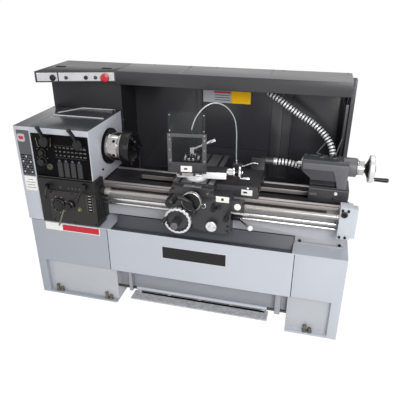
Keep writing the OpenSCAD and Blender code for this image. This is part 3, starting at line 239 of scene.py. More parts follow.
def finish(name, rgb, rough, metal=0.0, vary=0.05, patch=20.0, grain=700.0, stretch=(1, 1, 1),
           bump=0.04, swing=0.08, specular=0.5, coat=0.0, worn=None, wear_radius=0.002):
    """Paint, metal or plastic: colour in soft patches and fine grain, uneven gloss, and worn edges"""
    g = Graph(name)
    base = linear(rgb)
    dark = [c * (1 - vary) for c in base]
    light = [min(1, c * (1 + vary)) for c in base]
    patches, fine = g.noise(patch, 5.0), g.noise(grain, 2.0, stretch)
    both = combine(g.tree, "ADD", patches, fine)
    colour = g.mix(g.spread(both, 0, 1, 0.75, 1.25), dark, light)
    gloss = g.spread(both, max(0.02, rough - swing), min(1, rough + swing), 0.75, 1.25)
    if worn:
        mask = g.edges(wear_radius, 0.02, 0.3)
        colour = g.mix(mask, colour, linear(worn))
    bumps = g.node("Bump", [("Height", fine), ("Strength", bump), ("Distance", 0.0006)])
    for key, value in (("Base Color", colour), ("Roughness", gloss), ("Metallic", metal),
                       ("Specular IOR Level", specular), ("Coat Weight", coat), ("Coat Roughness", 0.12),
                       ("Normal", bumps.outputs[0])):
        g.put(key, value)
    return g.material


def clear_plastic(name, rgb, tint):
    """Clear acrylic: almost nothing but a faint tint and an uneven shine"""
    g = Graph(name)
    g.put("Base Color", g.mix(g.spread(g.noise(9, 3.0), 0, 1), linear(rgb), [0.9, 0.92, 0.93]))
    g.put("Roughness", g.spread(g.noise(40, 4.0, (1, 1, 6)), 0.05, 0.12))
    clear = g.node("BsdfTransparent", [("Color", (tint, tint, tint, 1))])
    share = g.spread(g.noise(6, 3.0), 0.006, 0.016)
    both = g.node("MixShader", [(0, share), (1, clear.outputs[0]), (2, g.shader.outputs[0])])
    g.show(both.outputs[0])
    return g.material


LENGTHWISE = (0.02, 1, 1)
LIGHT = finish("light_grey_paint", (186, 190, 198), 0.4, vary=0.03, patch=2.5, bump=0.05)
# Light grey paint made darker on the left pedestal: painted shade, the light falling off towards the left
SHADED_LEFT_PAINT = finish("left_pedestal_in_painted_shade", (162, 167, 175), 0.4, vary=0.04, patch=2.5, bump=0.05)
# The stand's light grey paint made darker on the bed: painted shade under the ways and rods
SHADED_BED_PAINT = finish("bed_in_painted_shade", (166, 168, 174), 0.42, patch=5.0, bump=0.14)
SKIRT = finish("shaded_paint", (150, 152, 159), 0.42, vary=0.04, patch=3.0, bump=0.05)
# Light grey paint a little darker for the pedestals' toe recesses: painted shade
PEDESTAL_TOE_SHADE = finish("pedestal_recess_in_painted_shade", (180, 183, 188), 0.42, patch=4.0, vary=0.06, bump=0.05)
# Dark grey on the tray's light grey sheet between the pedestals: painted shade
SHADE = finish("tray_painted_shade", (60, 64, 72), 0.34, vary=0.1, patch=3.5)
DARK = finish("dark_grey_paint", (52, 52, 56), 0.3, vary=0.06, patch=2.0, swing=0.06)
# The hood's dark paint made darker still: painted shade on the cabinet under the control box and on the box's
# top
SHADED_CABINET_PAINT = finish("cabinet_in_painted_shade", (30, 30, 33), 0.36, vary=0.06, patch=2.0, swing=0.06, specular=0.3)
# Dark grey on the tops of light grey castings: painted shade from the light in front, and on the tailstock a
# painted reflection of the dark guard
TOP_SHADE = finish("top_painted_shade", (64, 65, 69), 0.22, patch=2.0, swing=0.05)
GREY = finish("tailstock_grey_paint", (92, 91, 95), 0.45, vary=0.07, patch=9.0, bump=0.12, grain=420.0)
CAST = finish("cast_dark_paint", (48, 47, 50), 0.42, vary=0.12, patch=14.0, bump=0.22, grain=320.0,
              worn=(120, 118, 118), wear_radius=0.0015)
GEARBOX = finish("gearbox_paint", (25, 24, 24), 0.45, vary=0.08, patch=7.0, bump=0.12, grain=500.0,
                 specular=0.3)
PLATE = finish("gearbox_plate", (42, 40, 39), 0.45, vary=0.06, patch=6.0, stretch=LENGTHWISE, bump=0.06,
               specular=0.3)
# Black paint and print, also painted shade in slots, holes and gaps, and a painted reflection on the
# spindle's flange
BLACK = finish("black_with_painted_shade_and_reflection", (9, 9, 11), 0.45, vary=0.15, patch=8.0, specular=0.05)
PLASTIC = finish("black_plastic", (15, 15, 16), 0.36, vary=0.12, patch=30.0, grain=1500.0, specular=0.35)
RED = finish("red_plastic", (188, 14, 38), 0.25, vary=0.06, patch=30.0, coat=0.4)
LAMP = finish("dark_lamp", (34, 46, 42), 0.15, vary=0.08, patch=40.0, coat=0.6)
SILVER = finish("silver_panel", (205, 204, 208), 0.34, metal=0.25, patch=9.0,
                stretch=LENGTHWISE, bump=0.08)
STEEL = finish("ground_steel", (172, 168, 165), 0.3, metal=0.75, patch=7.0, grain=900.0,
               stretch=LENGTHWISE, bump=0.05, swing=0.05)
WAYS = finish("worn_ways", (158, 152, 150), 0.34, metal=0.65, vary=0.16, patch=3.0, grain=90.0,
              stretch=LENGTHWISE, bump=0.05, swing=0.06)
BRIGHT = finish("bright_steel", (228, 228, 229), 0.35, metal=0.3, vary=0.03, patch=12.0)
SATIN = finish("satin_chrome", (216, 216, 220), 0.26, metal=0.6, patch=25.0, swing=0.05, bump=0.03)
TREAD = finish("tread_plate", (178, 180, 184), 0.4, vary=0.3, patch=60.0, grain=230.0, bump=0.3)
# Near black: painted shadow inside the bed and under the tailstock's body, and the dark seams beside the
# front panel
SHADOW_AND_SEAM = finish("seam_and_painted_shadow", (34, 33, 36), 0.5, vary=0.1, patch=14.0, bump=0.15)
# Darker grey on the floor of the tailstock's shallow pocket: painted shade
POCKET_SHADE = finish("pocket_floor_painted_shade", (64, 63, 67), 0.5, vary=0.08, patch=14.0, bump=0.15)
TURNED = finish("turned_steel", (190, 188, 186), 0.22, metal=0.95, vary=0.1, grain=1100.0,
                stretch=(1, 0.15, 0.15), bump=0.1, swing=0.1)
POLISHED = finish("polished_steel", (172, 170, 168), 0.16, metal=1.0, vary=0.08, swing=0.03,
                  bump=0.03)
CHROME = finish("chrome", (214, 214, 216), 0.1, metal=1.0, patch=25.0, swing=0.05, bump=0.02)
OXIDE = finish("black_oxide", (30, 30, 32), 0.3, metal=0.55, vary=0.2, patch=25.0, bump=0.08,
               worn=(150, 148, 146), wear_radius=0.001)
BOLT = finish("zinc_bolt", (112, 108, 98), 0.42, metal=0.5, vary=0.25, patch=60.0, bump=0.12)
IRON = finish("bare_iron", (70, 66, 62), 0.5, metal=0.6, vary=0.2, patch=30.0, bump=0.2)
RUBBER = finish("black_rubber", (22, 22, 22), 0.75, vary=0.1, specular=0.25, bump=0.1)
PRINT = finish("white_print", (222, 222, 220), 0.5, vary=0.04, patch=40.0)
LABEL = finish("white_label", (232, 232, 228), 0.42, vary=0.03)
PALE = finish("grey_label", (176, 176, 184), 0.4, vary=0.04)
YELLOW = finish("yellow_label", (252, 196, 4), 0.5, specular=0.2)
CRIMSON = finish("red_label", (186, 16, 40), 0.4)
CHART = finish("chart_grey", (26, 26, 28), 0.45, vary=0.08)
STRIP = finish("strip_grey", (82, 82, 85), 0.4, metal=0.2, patch=12.0)
BEIGE = finish("brass", (136, 124, 92), 0.34, metal=0.7, vary=0.1, patch=30.0)
GLASS = clear_plastic("clear_acrylic", (206, 214, 216), 0.96)
TINTED = clear_plastic("tinted_acrylic", (160, 166, 168), 0.84)
OIL = finish("oil_sight", (60, 56, 42), 0.3, vary=0.2, patch=60.0, specular=0.3)
DIM = finish("dim_print", (150, 150, 148), 0.5, patch=40.0)
FAINT = finish("faint_print", (82, 82, 86), 0.5, vary=0.06, patch=40.0)
STICK = finish("worn_stick", (108, 112, 94), 0.4, metal=0.3, vary=0.1, patch=30.0)
HOSE = finish("grey_hose", (176, 179, 180), 0.3, vary=0.06, patch=30.0, metal=0.35)
RIB = finish("bright_rib", (238, 239, 240), 0.28, metal=0.25, vary=0.04, patch=40.0)


# ---- Meshes ----------------------------------------------

def spoke(degrees, first=Y, second=Z):
    """Direction at an angle from one direction towards another"""
    a = math.radians(degrees)
    return math.cos(a) * first + math.sin(a) * second


def circle(centre, u, v, radius, count):
    return [centre + radius * spoke(360 * k / count, u, v) for k in range(count)]


def rounded(centre, u, v, width, height, corner, steps=3):
    """Rectangle with round corners"""
    points = []
    for sx, sy, start in ((1, 1, 0), (-1, 1, 90), (-1, -1, 180), (1, -1, 270)):
        middle = centre + sx * (width / 2 - corner) * u + sy * (height / 2 - corner) * v
        points += [middle + corner * spoke(start + 90 * k / steps, u, v) for k in range(steps + 1)]
    return points


def hexagon(centre, u, v, radius):
    """Hexagon with points along its sides, as many as the circle round it has"""
    corners, per_side = circle(centre, u, v, radius, 6), 4
    return [a.lerp(b, k / per_side) for a, b in zip(corners, corners[1:] + corners[:1])
            for k in range(per_side)]


def across(axis):
    """Two directions square to an axis"""
    u = axis.cross(Z if abs(axis.z) < 0.9 else X).normalized()
    return u, axis.cross(u)


def smooth(points, steps):
    """Points along a smooth line through a route"""
    made = []
    for i in range(len(points) - 1):
        a, b = points[max(i - 1, 0)], points[i]
        c, d = points[i + 1], points[min(i + 2, len(points) - 1)]
        for k in range(steps):
            t = k / steps
            made.append(0.5 * (2 * b + (c - a) * t + (2 * a - 5 * b + 4 * c - d) * t * t
                               + (3 * b - a - 3 * c + d) * t ** 3))
    return made + [points[-1]]


def resampled(points, step):
    """Points a given step apart along a line"""
    made, left = [points[0]], step
    for a, b in zip(points, points[1:]):
        length, done = (b - a).length, 0.0
        while length - done >= left:
            done += left
            made.append(a.lerp(b, done / length))
            left = step
        left -= length - done
    return made + [points[-1]]


GLYPHS = {}


def glyph(text):
    """Flat mesh of a plain number, 1 high"""
    if text not in GLYPHS:
        curve = bpy.data.curves.new("number", "FONT")
        curve.body, curve.align_x, curve.align_y = text, "CENTER", "CENTER"
        curve.extrude, curve.resolution_u = 0.02, 2
        shape = add_object("number", curve)
        seen = shape.evaluated_get(bpy.context.evaluated_depsgraph_get())
        mesh = bpy.data.meshes.new_from_object(seen)
        GLYPHS[text] = ([v.co.copy() for v in mesh.vertices], [list(p.vertices) for p in mesh.polygons])
        bpy.data.objects.remove(shape)
        bpy.data.meshes.remove(mesh)
    return GLYPHS[text]


def placed(name, bm, materials, body, replaces):
    """Object made from a mesh, what it rides on and the nodes that it stands for"""
    mesh = bpy.data.meshes.new(name)
    bm.to_mesh(mesh)
    bm.free()
    for material in materials:
        mesh.materials.append(material)
    made = add_object(name, mesh)
    if body:
        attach(made, body)
    if replaces:
        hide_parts(*replaces)
    return made


class Piece:
    """Gathers closed shells into one object, each shell with its own material"""

    def __init__(self, name):
        self.name, self.bm, self.materials = name, bmesh.new(), []

    def use(self, material):
        if material not in self.materials:
            self.materials.append(material)
        return self.materials.index(material)

    def loft(self, rings, material, closed=False):
        """Skin over rings of equally many points, with flat ends unless it closes on itself"""
        rows = [[self.bm.verts.new(p) for p in ring] for ring in rings]
        count = len(rows[0])
        pairs = list(zip(rows, rows[1:])) + ([(rows[-1], rows[0])] if closed else [])
        faces = [self.bm.faces.new((a[k], a[(k + 1) % count], b[(k + 1) % count], b[k]))
                 for a, b in pairs for k in range(count)]
        if not closed:
            faces += [self.bm.faces.new(rows[0]), self.bm.faces.new(rows[-1])]
        index = self.use(material)
        for face in faces:
            face.material_index = index

    def plate(self, centre, face, width, height, thick, material, corner=0.001, edge=0.0003):
        """Flat plate on a face, with its back at the centre point"""
        (right, up), centre = face, Vector(centre)
        out = right.cross(up)
        corner = min(corner, width / 2.01, height / 2.01)
        edge = min(edge, thick / 2, corner * 0.9)
        self.loft([rounded(centre + out * t, right, up, width - 2 * i, height - 2 * i, corner - i)
                   for t, i in ((0, 0), (thick - edge, 0), (thick, edge))], material)

    def block(self, low, high, material, edge=0.001, u=X, v=Y):
        """Box with chamfered edges between two corners, given along u, v and Z"""
        low, high = Vector(low), Vector(high)
        size, middle = high - low, (low + high) / 2
        edge = min(edge, *(s / 3 for s in size))
        self.loft([rounded(middle.x * u + middle.y * v + z * Z, u, v, size.x - 2 * i, size.y - 2 * i, edge, 1)
                   for z, i in ((low.z, edge * 0.6), (low.z + edge, 0), (high.z - edge, 0),
                                (high.z, edge * 0.6))], material)

    def turned(self, origin, axis, profile, material, sides=32, closed=False):
        """Turned shape: distances along the axis and radii; a closed profile makes a ring with a hole"""
        u, v = across(axis)
        self.loft([circle(Vector(origin) + t * axis, u, v, max(r, 0.0001), sides) for t, r in profile],
                  material, closed)

    def tube(self, points, radii, material, sides=12):
        """Tube along points, with one radius or one for each point"""
        if isinstance(radii, (int, float)):
            radii = [radii] * len(points)
        ahead = [(points[min(i + 1, len(points) - 1)] - points[max(i - 1, 0)]).normalized()
                 for i in range(len(points))]
        u = across(ahead[0])[0]
        rings = []
        for p, d, r in zip(points, ahead, radii):
            u = (u - d * u.dot(d)).normalized()
            rings.append(circle(p, u, d.cross(u), r, sides))
        self.loft(rings, material)

    def cap_screw(self, place, out, radius):
        """Socket head screw, its head's underside on the place"""
        (u, v), place = across(out), Vector(place)
        high = radius * 0.9
        heads = ((0, 0.98), (high * 0.85, 1.0), (high, 0.88))
        rings = [circle(place + t * out, u, v, r * radius, 24) for t, r in heads]
        rings += [hexagon(place + t * out, u, v, radius * 0.52) for t in (high, high * 0.35)]
        self.loft(rings, OXIDE)

    def button_screw(self, place, out, radius, material=CHROME):
        """Round head screw with a black bar across it, painted shade in place of a slot"""
        place = Vector(place)
        self.turned(place, out, [(0, radius), (radius * 0.3, radius * 0.9), (radius * 0.5, radius * 0.55),
                                 (radius * 0.55, radius * 0.2)], material, 16)
        u = across(out)[0]
        self.plate(place + out * radius * 0.5, (u, out.cross(u)), radius * 1.1, radius * 0.22,
                   radius * 0.08, BLACK, radius * 0.05)

    def number(self, value, centre, face, height, material):
        """Plain number, flat on a face"""
        (right, up), centre = face, Vector(centre)
        out = right.cross(up)
        points, faces = glyph(str(value))
        verts = [self.bm.verts.new(centre + (p.x * right + p.y * up + (p.z + 0.02) * out) * height)
                 for p in points]
        index = self.use(material)
        for face_points in faces:
            self.bm.faces.new([verts[i] for i in face_points]).material_index = index

    def done(self, slot, body="frame", replaces=(), sharp=35):
        """Makes the object, smooth apart from its sharp edges"""
        bmesh.ops.recalc_face_normals(self.bm, faces=self.bm.faces[:])
        made = placed(self.name, self.bm, self.materials, body, replaces)
        made.data.shade_smooth()
        made.data.set_sharp_from_angle(angle=math.radians(sharp))
        return made


# ---- CAD nodes with rounded edges and their finishes -----


def dress(node, materials, choose=None, *, edge, cuts=()):
    """Copy of a CAD node with its edges broken; choose gives the number of a face's material, or no
    for 0 and yes for 1, from the face's centre and normal; cuts are the X places that divide faces"""
    bm = bmesh.new()
    bm.from_mesh(frame["nodes"][node].data)
    bmesh.ops.remove_doubles(bm, verts=bm.verts[:], dist=2e-6)
    bmesh.ops.dissolve_limit(bm, angle_limit=math.radians(0.3), verts=bm.verts[:], edges=bm.edges[:])
    for x in cuts:
        bmesh.ops.bisect_plane(bm, geom=bm.verts[:] + bm.edges[:] + bm.faces[:], plane_co=(x, 0, 0),
                               plane_no=(1, 0, 0))
    weight = bm.edges.layers.float.new("bevel_weight_edge")
    for e in bm.edges:
        if len(e.link_faces) == 2 and e.calc_face_angle(0) > math.radians(30):
            near = min(o.calc_length() for v in e.verts for o in v.link_edges)
            e[weight] = min(1.0, 0.4 * near / edge) if edge else 0
            e.smooth = e[weight] > 0.1
            if not e.smooth:
                e[weight] = 0
    for f in bm.faces:
        f.smooth = True
        f.material_index = int(choose(f.calc_center_median(), f.normal)) if choose else 0
    made = placed(node + "_surface", bm, materials, BODY[node], [node])
    if edge:
        bevel = made.modifiers.new("edges", "BEVEL")
        bevel.limit_method, bevel.width, bevel.segments = "WEIGHT", edge, 2
        bevel.use_clamp_overlap, bevel.harden_normals = False, True


def near_axis(point, axis, zones):
    """Chooser for turned pieces: zones are lists of (start, end, least radius, most radius, number),
    measured along and from an axis"""
    def choose(centre, normal):
        away = centre - point
        t = away.dot(axis)
        r = (away - t * axis).length
        for start, end, least, most, number in zones:
            if start <= t <= end and least <= r <= most:
                return number
        return 0
    return choose


def compound(x, y, z):
    """Place in the compound's own directions"""
    return COMPOUND + x * ALONG + y * ACROSS + z * Z


def dress_plain():
    """Nodes with one finish all over, and the width of their broken edges"""
    for material, edge, nodes in (
            (LIGHT, 0.002, ["end_bracket"]), (TOP_SHADE, 0.0015, ["headstock_lid"]),
            (GEARBOX, 0.003, ["gearbox_case"]), (PLATE, 0.0015, ["gearbox_cover"]),
            (GREY, 0.0012, ["motor"]), (RUBBER, 0.0012, ["drive_belt"]),
            (SHADED_CABINET_PAINT, 0.0015, ["electrical_cabinet"]), (DARK, 0.0015, ["hood", "back_wall"]),
            (OXIDE, 0.0015, ["chuck"]), (OXIDE, 0.0008, ["chuck_jaws"]),
            (PLASTIC, 0.001, ["speed_lever_left", "speed_lever_right", "upper_knob", "lower_knob",
                               "gearbox_lever", "range_lever"]),
            (PLASTIC, 0.0008, ["gearbox_dial", "feed_lever", "half_nut_lever", "main_switch",
                               "selector_switch"]),
            (TURNED, 0.0006, ["feed_rod", "control_rod"]), (TURNED, 0.0008, ["quill"]),
            (BRIGHT, 0.0008, ["swivel_base"]), (CHROME, 0.0008, ["clamp_lever"]),
            (LABEL, 0.0006, ["thread_dial"]), (RED, 0.001, ["stop_button"])):
        for node in nodes:
            dress(node, [material], edge=edge)


def dress_stand():
    # Low faces set back from the front take a second paint: painted shade in the pedestals' toe recesses and
    # under the front panel
    for node, paint, low in (("left_pedestal", SHADED_LEFT_PAINT, PEDESTAL_TOE_SHADE), ("right_pedestal", LIGHT, PEDESTAL_TOE_SHADE),
                             ("front_panel", LIGHT, SKIRT)):
        dress(node, [paint, low], lambda c, n: c.y > -0.2 and c.z < 0.3, edge=0.002)
    dress("foot_brake", [LIGHT, IRON, TREAD], brake_zone, edge=0)
    dress("bolts", [BOLT, OXIDE], lambda c, n: c.z > 0.3, edge=0.0008)
    dress("chip_tray", [LIGHT, SHADE], tray_zone, edge=0, cuts=TRAY_ENDS)
    dress("bed", [SHADED_BED_PAINT, WAYS, IRON, SHADOW_AND_SEAM], bed_zone, edge=0.0015)


def tray_zone(c, n):
    """1 on the floor and walls between the pedestals, painted dark as shade"""
    inside = c.y > LOW["chip_tray"].y + 0.024 and TRAY_ENDS[0] < c.x < TRAY_ENDS[1]
    return inside and n.z > -0.5 and c.z < 0.57


def brake_zone(c, n):
    """0 tube, 1 shaft, 2 tread"""
    if c.z < 0.0935 and c.y < -0.181:
        return 2
    return math.hypot(c.y + 0.18, c.z - 0.105) < 0.0085


def bed_zone(c, n):
    """0 casting in the stand's paint darkened as painted shade, 1 ground ways, 2 rack, 3 painted shade inside
    and under the ways
    """
    if c.z > WAY_TOP - 0.0225 and abs(c.y) > 0.038:
        return 1
    if c.y < -0.1035 and 0.72 < c.z < 0.752 and abs(n.x) < 0.5:
        return 2
    end = abs(n.x) > 0.9 and (c.x < LOW["bed"].x + 0.01 or c.x > HIGH["bed"].x - 0.01)
    if end or c.z < 0.571 or (c.y < -0.1 and c.z < 0.745) or c.y > 0.1:
        return 0
    return 3


def sight_zone(c, n, centre, depth, glass, ring):
    """0 casting, 1 ring and 2 glass of an oil sight in front of a face at a depth"""
    r = math.hypot(c.x - centre[0], c.z - centre[1])
    if c.y > depth or r > ring:
        return 0
    return 2 if r < glass and n.y < -0.9 else 1


def panel_zone(c, n):
    return sight_zone(c, n, (-0.804, 0.895), -0.2385, 0.0095, 0.02)


def apron_zone(c, n):
    return sight_zone(c, n, (0.08, 0.749), APRON_FRONT - 0.0005, 0.012, 0.016)


def box_zone(c, n):
    """0 paint, 1 lamps, 2 pads on the top, 3 top, in the cabinet's painted shade"""
    if c.z > BOX_TOP + 0.0001:
        return 2
    if n.z > 0.9 and c.z > BOX_TOP - 0.005:
        return 3
    return (c - BOX).dot(BOX_OUT) > 0.0005


def dress_headstock():
    # Tops of the headstock and its end cover in painted shade
    for node, edge in (("headstock_case", 0.004), ("end_cover", 0.003)):
        top = HIGH[node].z - 0.012
        dress(node, [LIGHT, TOP_SHADE], lambda c, n: n.z > 0.9 and c.z > top, edge=edge)
    dress("control_plate", [BLACK, STRIP, OIL], panel_zone, edge=0.001)
    dress("control_box", [DARK, LAMP, RUBBER, SHADED_CABINET_PAINT], box_zone, edge=0.0015)
    nose = Vector((HIGH["spindle"].x, 0, AXIS.z))
    # The flange ring behind the nose is painted black: a painted reflection of the dark wall in the polished
    # steel
    dress("spindle", [POLISHED, BLACK, IRON],
          near_axis(nose, X, [(-0.1025, -0.0815, 0.0812, 0.2, 1), (-0.9, -0.3, 0.046, 0.2, 2)]), edge=0.001)
    dress("gearbox_handle", [PLASTIC, STICK], lambda c, n: c.z < 0.655, edge=0.001)


def dress_carriage():
    top, middle = HIGH["cross_slide"].z, COMPOUND.x
    dress("saddle", [CAST, STEEL],
          lambda c, n: n.z > 0.9 and c.z > top - 0.03 and abs(c.x - middle) < 0.05, edge=0.0025)
    dress("apron", [CAST, CHROME, OIL], apron_zone, edge=0.0025)
    dress("cross_slide", [CAST, GREY], lambda c, n: n.z > 0.9 and c.z > top - 0.001, edge=0.001)
    dress("apron_wheel", [CAST, SATIN, GREY, TURNED],
          near_axis(APRON_HUB, -Y, [(0.058, 0.0815, 0.0735, 0.09, 1), (0.138, 0.16, 0, 0.0215, 2),
                                    (-1, 0.06, 0, 0.0125, 3)]), edge=0)
    dress("cross_crank", [PLASTIC, TURNED],
          near_axis(CRANK, -Y, [(0.0735, 0.0965, 0.0485, 0.0525, 1), (-1, 0.0, 0, 0.0095, 1)]), edge=0.001)
    dress("top_slide", [STEEL, CAST, BRIGHT], slide_zone, edge=0.0012)
    dress("top_slide_wheel", [PLASTIC, CHROME, TURNED],
          near_axis(TOP_WHEEL, ALONG, [(-1, 0.0, 0, 0.01, 2), (0, 0.043, 0, 0.03, 1),
                                       (0.061, 0.077, 0.0275, 0.05, 1), (0.077, 0.15, 0, 0.06, 1)]),
          edge=0.0006)
    post_top = 0.976
    dress("tool_post", [OXIDE, CHROME], lambda c, n: c.z > post_top + 0.0005, edge=0.0012)
    ball = Vector((HIGH["control_lever"].x, LOW["control_lever"].y, LOW["control_lever"].z))
    ball += 0.015 * (Y + Z - X)
    dress("control_lever", [PLASTIC, CHROME, LABEL],
          lambda c, n: 2 if (c - ball).length < 0.0155 else (1 if c.x > 0.29 else 0), edge=0.0008)
    push = Vector((0.126, APRON_FRONT, 0.638))
    dress("push_pull_knob", [SATIN, PLASTIC], near_axis(push, -Y, [(0.024, 0.0285, 0.0125, 0.0235, 1)]),
          edge=0.001)


def slide_zone(c, n):
    """0 steel, 1 cast top, 2 front faces painted bright as a highlight"""
    if n.z > 0.9 and c.z < 0.921:
        return 1
    return 2 if n.dot(ACROSS) < -0.7 and (c - COMPOUND).dot(ALONG) > -0.06 else 0


def dress_tailstock():
    dress("tailstock", [GREY, CAST, POCKET_SHADE, SHADOW_AND_SEAM, TOP_SHADE], tailstock_zone, edge=0.003)
    dress("tailstock_wheel", [PLASTIC, SATIN, TURNED],
          near_axis(TAIL_END, X, [(-1, -0.002, 0, 0.013, 2), (-0.002, 0.0362, 0, 0.0395, 2),
                                  (0.0562, 0.0995, 0.0528, 0.08, 1)]), edge=0.001)
    for node in ("quill_lock", "base_lock"):
        dress(node, [STRIP, OXIDE], lambda c, n: c.z < 1.0165, edge=0.0006)


def tailstock_zone(c, n):
    """0 grey paint, 1 base, 2 shallow recess in painted shade, 3 deep recess in painted shadow, 4 top in
    painted shade
    """
    if c.z < 0.8575:
        return 1
    if c.x < 0.775 and c.z < 0.8925 and abs(c.y) < 0.0615:
        return 3
    if c.x < 0.757 and abs(n.y) > 0.9 and 0.05 < abs(c.y) < 0.056:
        return 2
    return 4 if n.z > 0.5 and 0.574 < c.x < 0.776 else 0


# ---- Markings --------------------------------------------

def front_at(node, x, z, lift=0.0):
    """Place on the front face of a node, at X and Z"""
    return Vector((x, LOW[node].y - lift, z))


def add_stand_markings():
    made = Piece("stand_markings")
    top, foot = HIGH["front_panel"].z, 0.247
    # Bare nameplate: dark field with a thin silver border
    x, z, border = 0.0245, top - 0.1015, 0.003
    made.plate(front_at("front_panel", x, z), FRONT, 0.377, 0.081, 0.0012, SILVER, border)
    made.plate(front_at("front_panel", x, z, 0.0008), FRONT, 0.377 - 2 * border, 0.081 - 2 * border, 0.0008,
               PLASTIC, 0.002)
    # Bare label under the gearbox: white with a red field
    made.plate(front_at("left_pedestal", -0.7235, top - 0.0255), FRONT, 0.355, 0.048, 0.0005, LABEL)
    made.plate(front_at("left_pedestal", -0.669, top - 0.025, 0.0004), FRONT, 0.237, 0.04, 0.0004, CRIMSON)
    # Joints of the front panel with the pedestals
    for x in (LOW["front_panel"].x - 0.001, HIGH["front_panel"].x + 0.001):
        made.plate(front_at("front_panel", x, (foot + top) / 2, -0.0008), FRONT, 0.0045, top - foot - 0.004,
                   0.001, SHADOW_AND_SEAM)
    made.done("white_plate")
    # Black strips behind and under the tread's rear edge: painted shadow in the slots
    shadow_strip = Piece("painted_shadow_in_brake_slot")
    tread = [v.co.x for v in frame["nodes"]["foot_brake"].data.vertices if v.co.y < -0.2]
    x0, x1 = min(tread), max(tread)
    shadow_strip.block((x0 + 0.014, -0.182, 0.0882), (x1 - 0.012, -0.1795, 0.095), BLACK, 0.0005)
    shadow_strip.block((x0 + 0.045, -0.201, 0.0878), (x1 - 0.02, -0.185, 0.089), BLACK, 0.0003)
    shadow_strip.done("black_oxide", BODY["foot_brake"])


def add_apron_wheel_rim():
    """Bright rim of the apron's handwheel with finger hollows round its inner edge"""
    made = Piece("apron_wheel_rim")
    u, v = across(-Y)
    points, hollows, depth = 216, 18, 0.005

    def edge(t, radius, depth=0.0):
        turns = [360 * k / points for k in range(points)]
        return [APRON_HUB - t * Y + (radius - depth * abs(math.sin(math.radians(a * hollows / 2))))
                * spoke(a, u, v) for a in turns]

    made.loft([edge(0.0815, 0.065, depth), edge(0.0815, 0.0742), edge(0.0828, 0.0735),
               edge(0.0836, 0.0715), edge(0.0836, 0.066, depth), edge(0.0826, 0.0652, depth)],
              SATIN, closed=True)
    made.done("chrome", BODY["apron_wheel"])


def add_end_cover_markings():
    made = Piece("end_cover_markings")
    top = HIGH["end_cover"].z
    made.plate(front_at("end_cover", -0.948, top - 0.158), FRONT, 0.079, 0.272, 0.001, STRIP, 0.004)
    sticker = top - 0.066
    made.plate(front_at("end_cover", -0.962, sticker, 0.0009), FRONT, 0.046, 0.046, 0.0004, PALE, 0.01)
    made.plate(front_at("end_cover", -0.962, sticker, 0.0012), FRONT, 0.03, 0.018, 0.0003, CRIMSON, 0.004)
    # Chart of the change gears: dark and light fields in rows
    for k in range(12):
        x, z = -0.972 + 0.0235 * (k % 3), top - 0.176 - 0.031 * (k // 3)
        made.plate(front_at("end_cover", x, z, 0.0009), FRONT, 0.019, 0.025, 0.0004, BLACK, 0.002)
        made.plate(front_at("end_cover", x, z, 0.0012), FRONT, 0.01, 0.013, 0.0003,
                   PALE if k % 2 else STRIP, 0.003)
    made.plate(front_at("end_cover", -0.947, top - 0.342), FRONT, 0.076, 0.088, 0.0005, LABEL, 0.002)
    for k, wide in enumerate((0.03, 0.058, 0.05, 0.058)):
        made.plate(front_at("end_cover", -0.947, top - 0.318 - 0.0165 * k, 0.0004), FRONT, wide, 0.0035,
                   0.0002, STRIP, 0.0005)
    made.done("white_plate")


def add_panel_markings():
    made = Piece("panel_markings")
    face = LOW["control_plate"].y + 0.005
    lift = 0.0003

    def on(x, z):
        return Vector((x, face, z))

    speeds = ((70, 115, 190, 300, 440, 730, 1200, 2000),
              (45, 80, 130, 210, 310, 510, 850, 1400),
              (30, 55, 90, 150, 220, 360, 600, 1000))
    for row, numbers in enumerate(speeds):
        for column, speed in enumerate(numbers):
            made.number(speed, on(-0.752 + 0.0245 * column, 1.014 - 0.023 * row), FRONT, 0.0098, DIM)
    for z in (1.026, 0.955):
        made.plate(on(-0.668, z), FRONT, 0.19, 0.001, lift, FAINT, 0.0003)
    # Feed chart: four columns with light heads and rows of fine lines
    for column in range(4):
        x = -0.74 + 0.04 * column
        made.plate(on(x, 0.884), FRONT, 0.03, 0.088, lift, CHART, 0.002)
        made.turned(on(x, 0.936), -Y, [(0, 0.007), (0.0005, 0.007), (0.0006, 0.0065)], FAINT, 20)
        for row in range(6):
            made.plate(on(x, 0.916 - 0.013 * row) - lift * Y, FRONT, 0.02, 0.0016, 0.0002, FAINT, 0.0004)
    # Pointers beside the two levers, and pictures of the knobs' settings
    for x, z, turn in ((-0.7805, 1.04, 9), (-0.625, 1.055, -12), (-0.866, 1.035, -8)):
        made.plate(on(x, z), (spoke(turn, X, -Z), spoke(turn, Z, X)), 0.003, 0.052, lift, BEIGE)
    for x, z in ((-0.837, 0.979), (-0.843, 0.926)):
        for k in range(5):
            made.plate(on(x, z) + 0.036 * spoke(-60 + 30 * k, Z, X), FRONT, 0.0035, 0.0035, lift, DIM)
    # Raised edge along the plate's foot
    made.plate(on(-0.726, 0.8315), FRONT, 0.338, 0.003, 0.0008, STRIP)
    for x in (-0.891, -0.561):
        for z in (0.838, 1.076):
            made.button_screw(on(x, z), -Y, 0.004, OXIDE)
    made.done("white_plate")


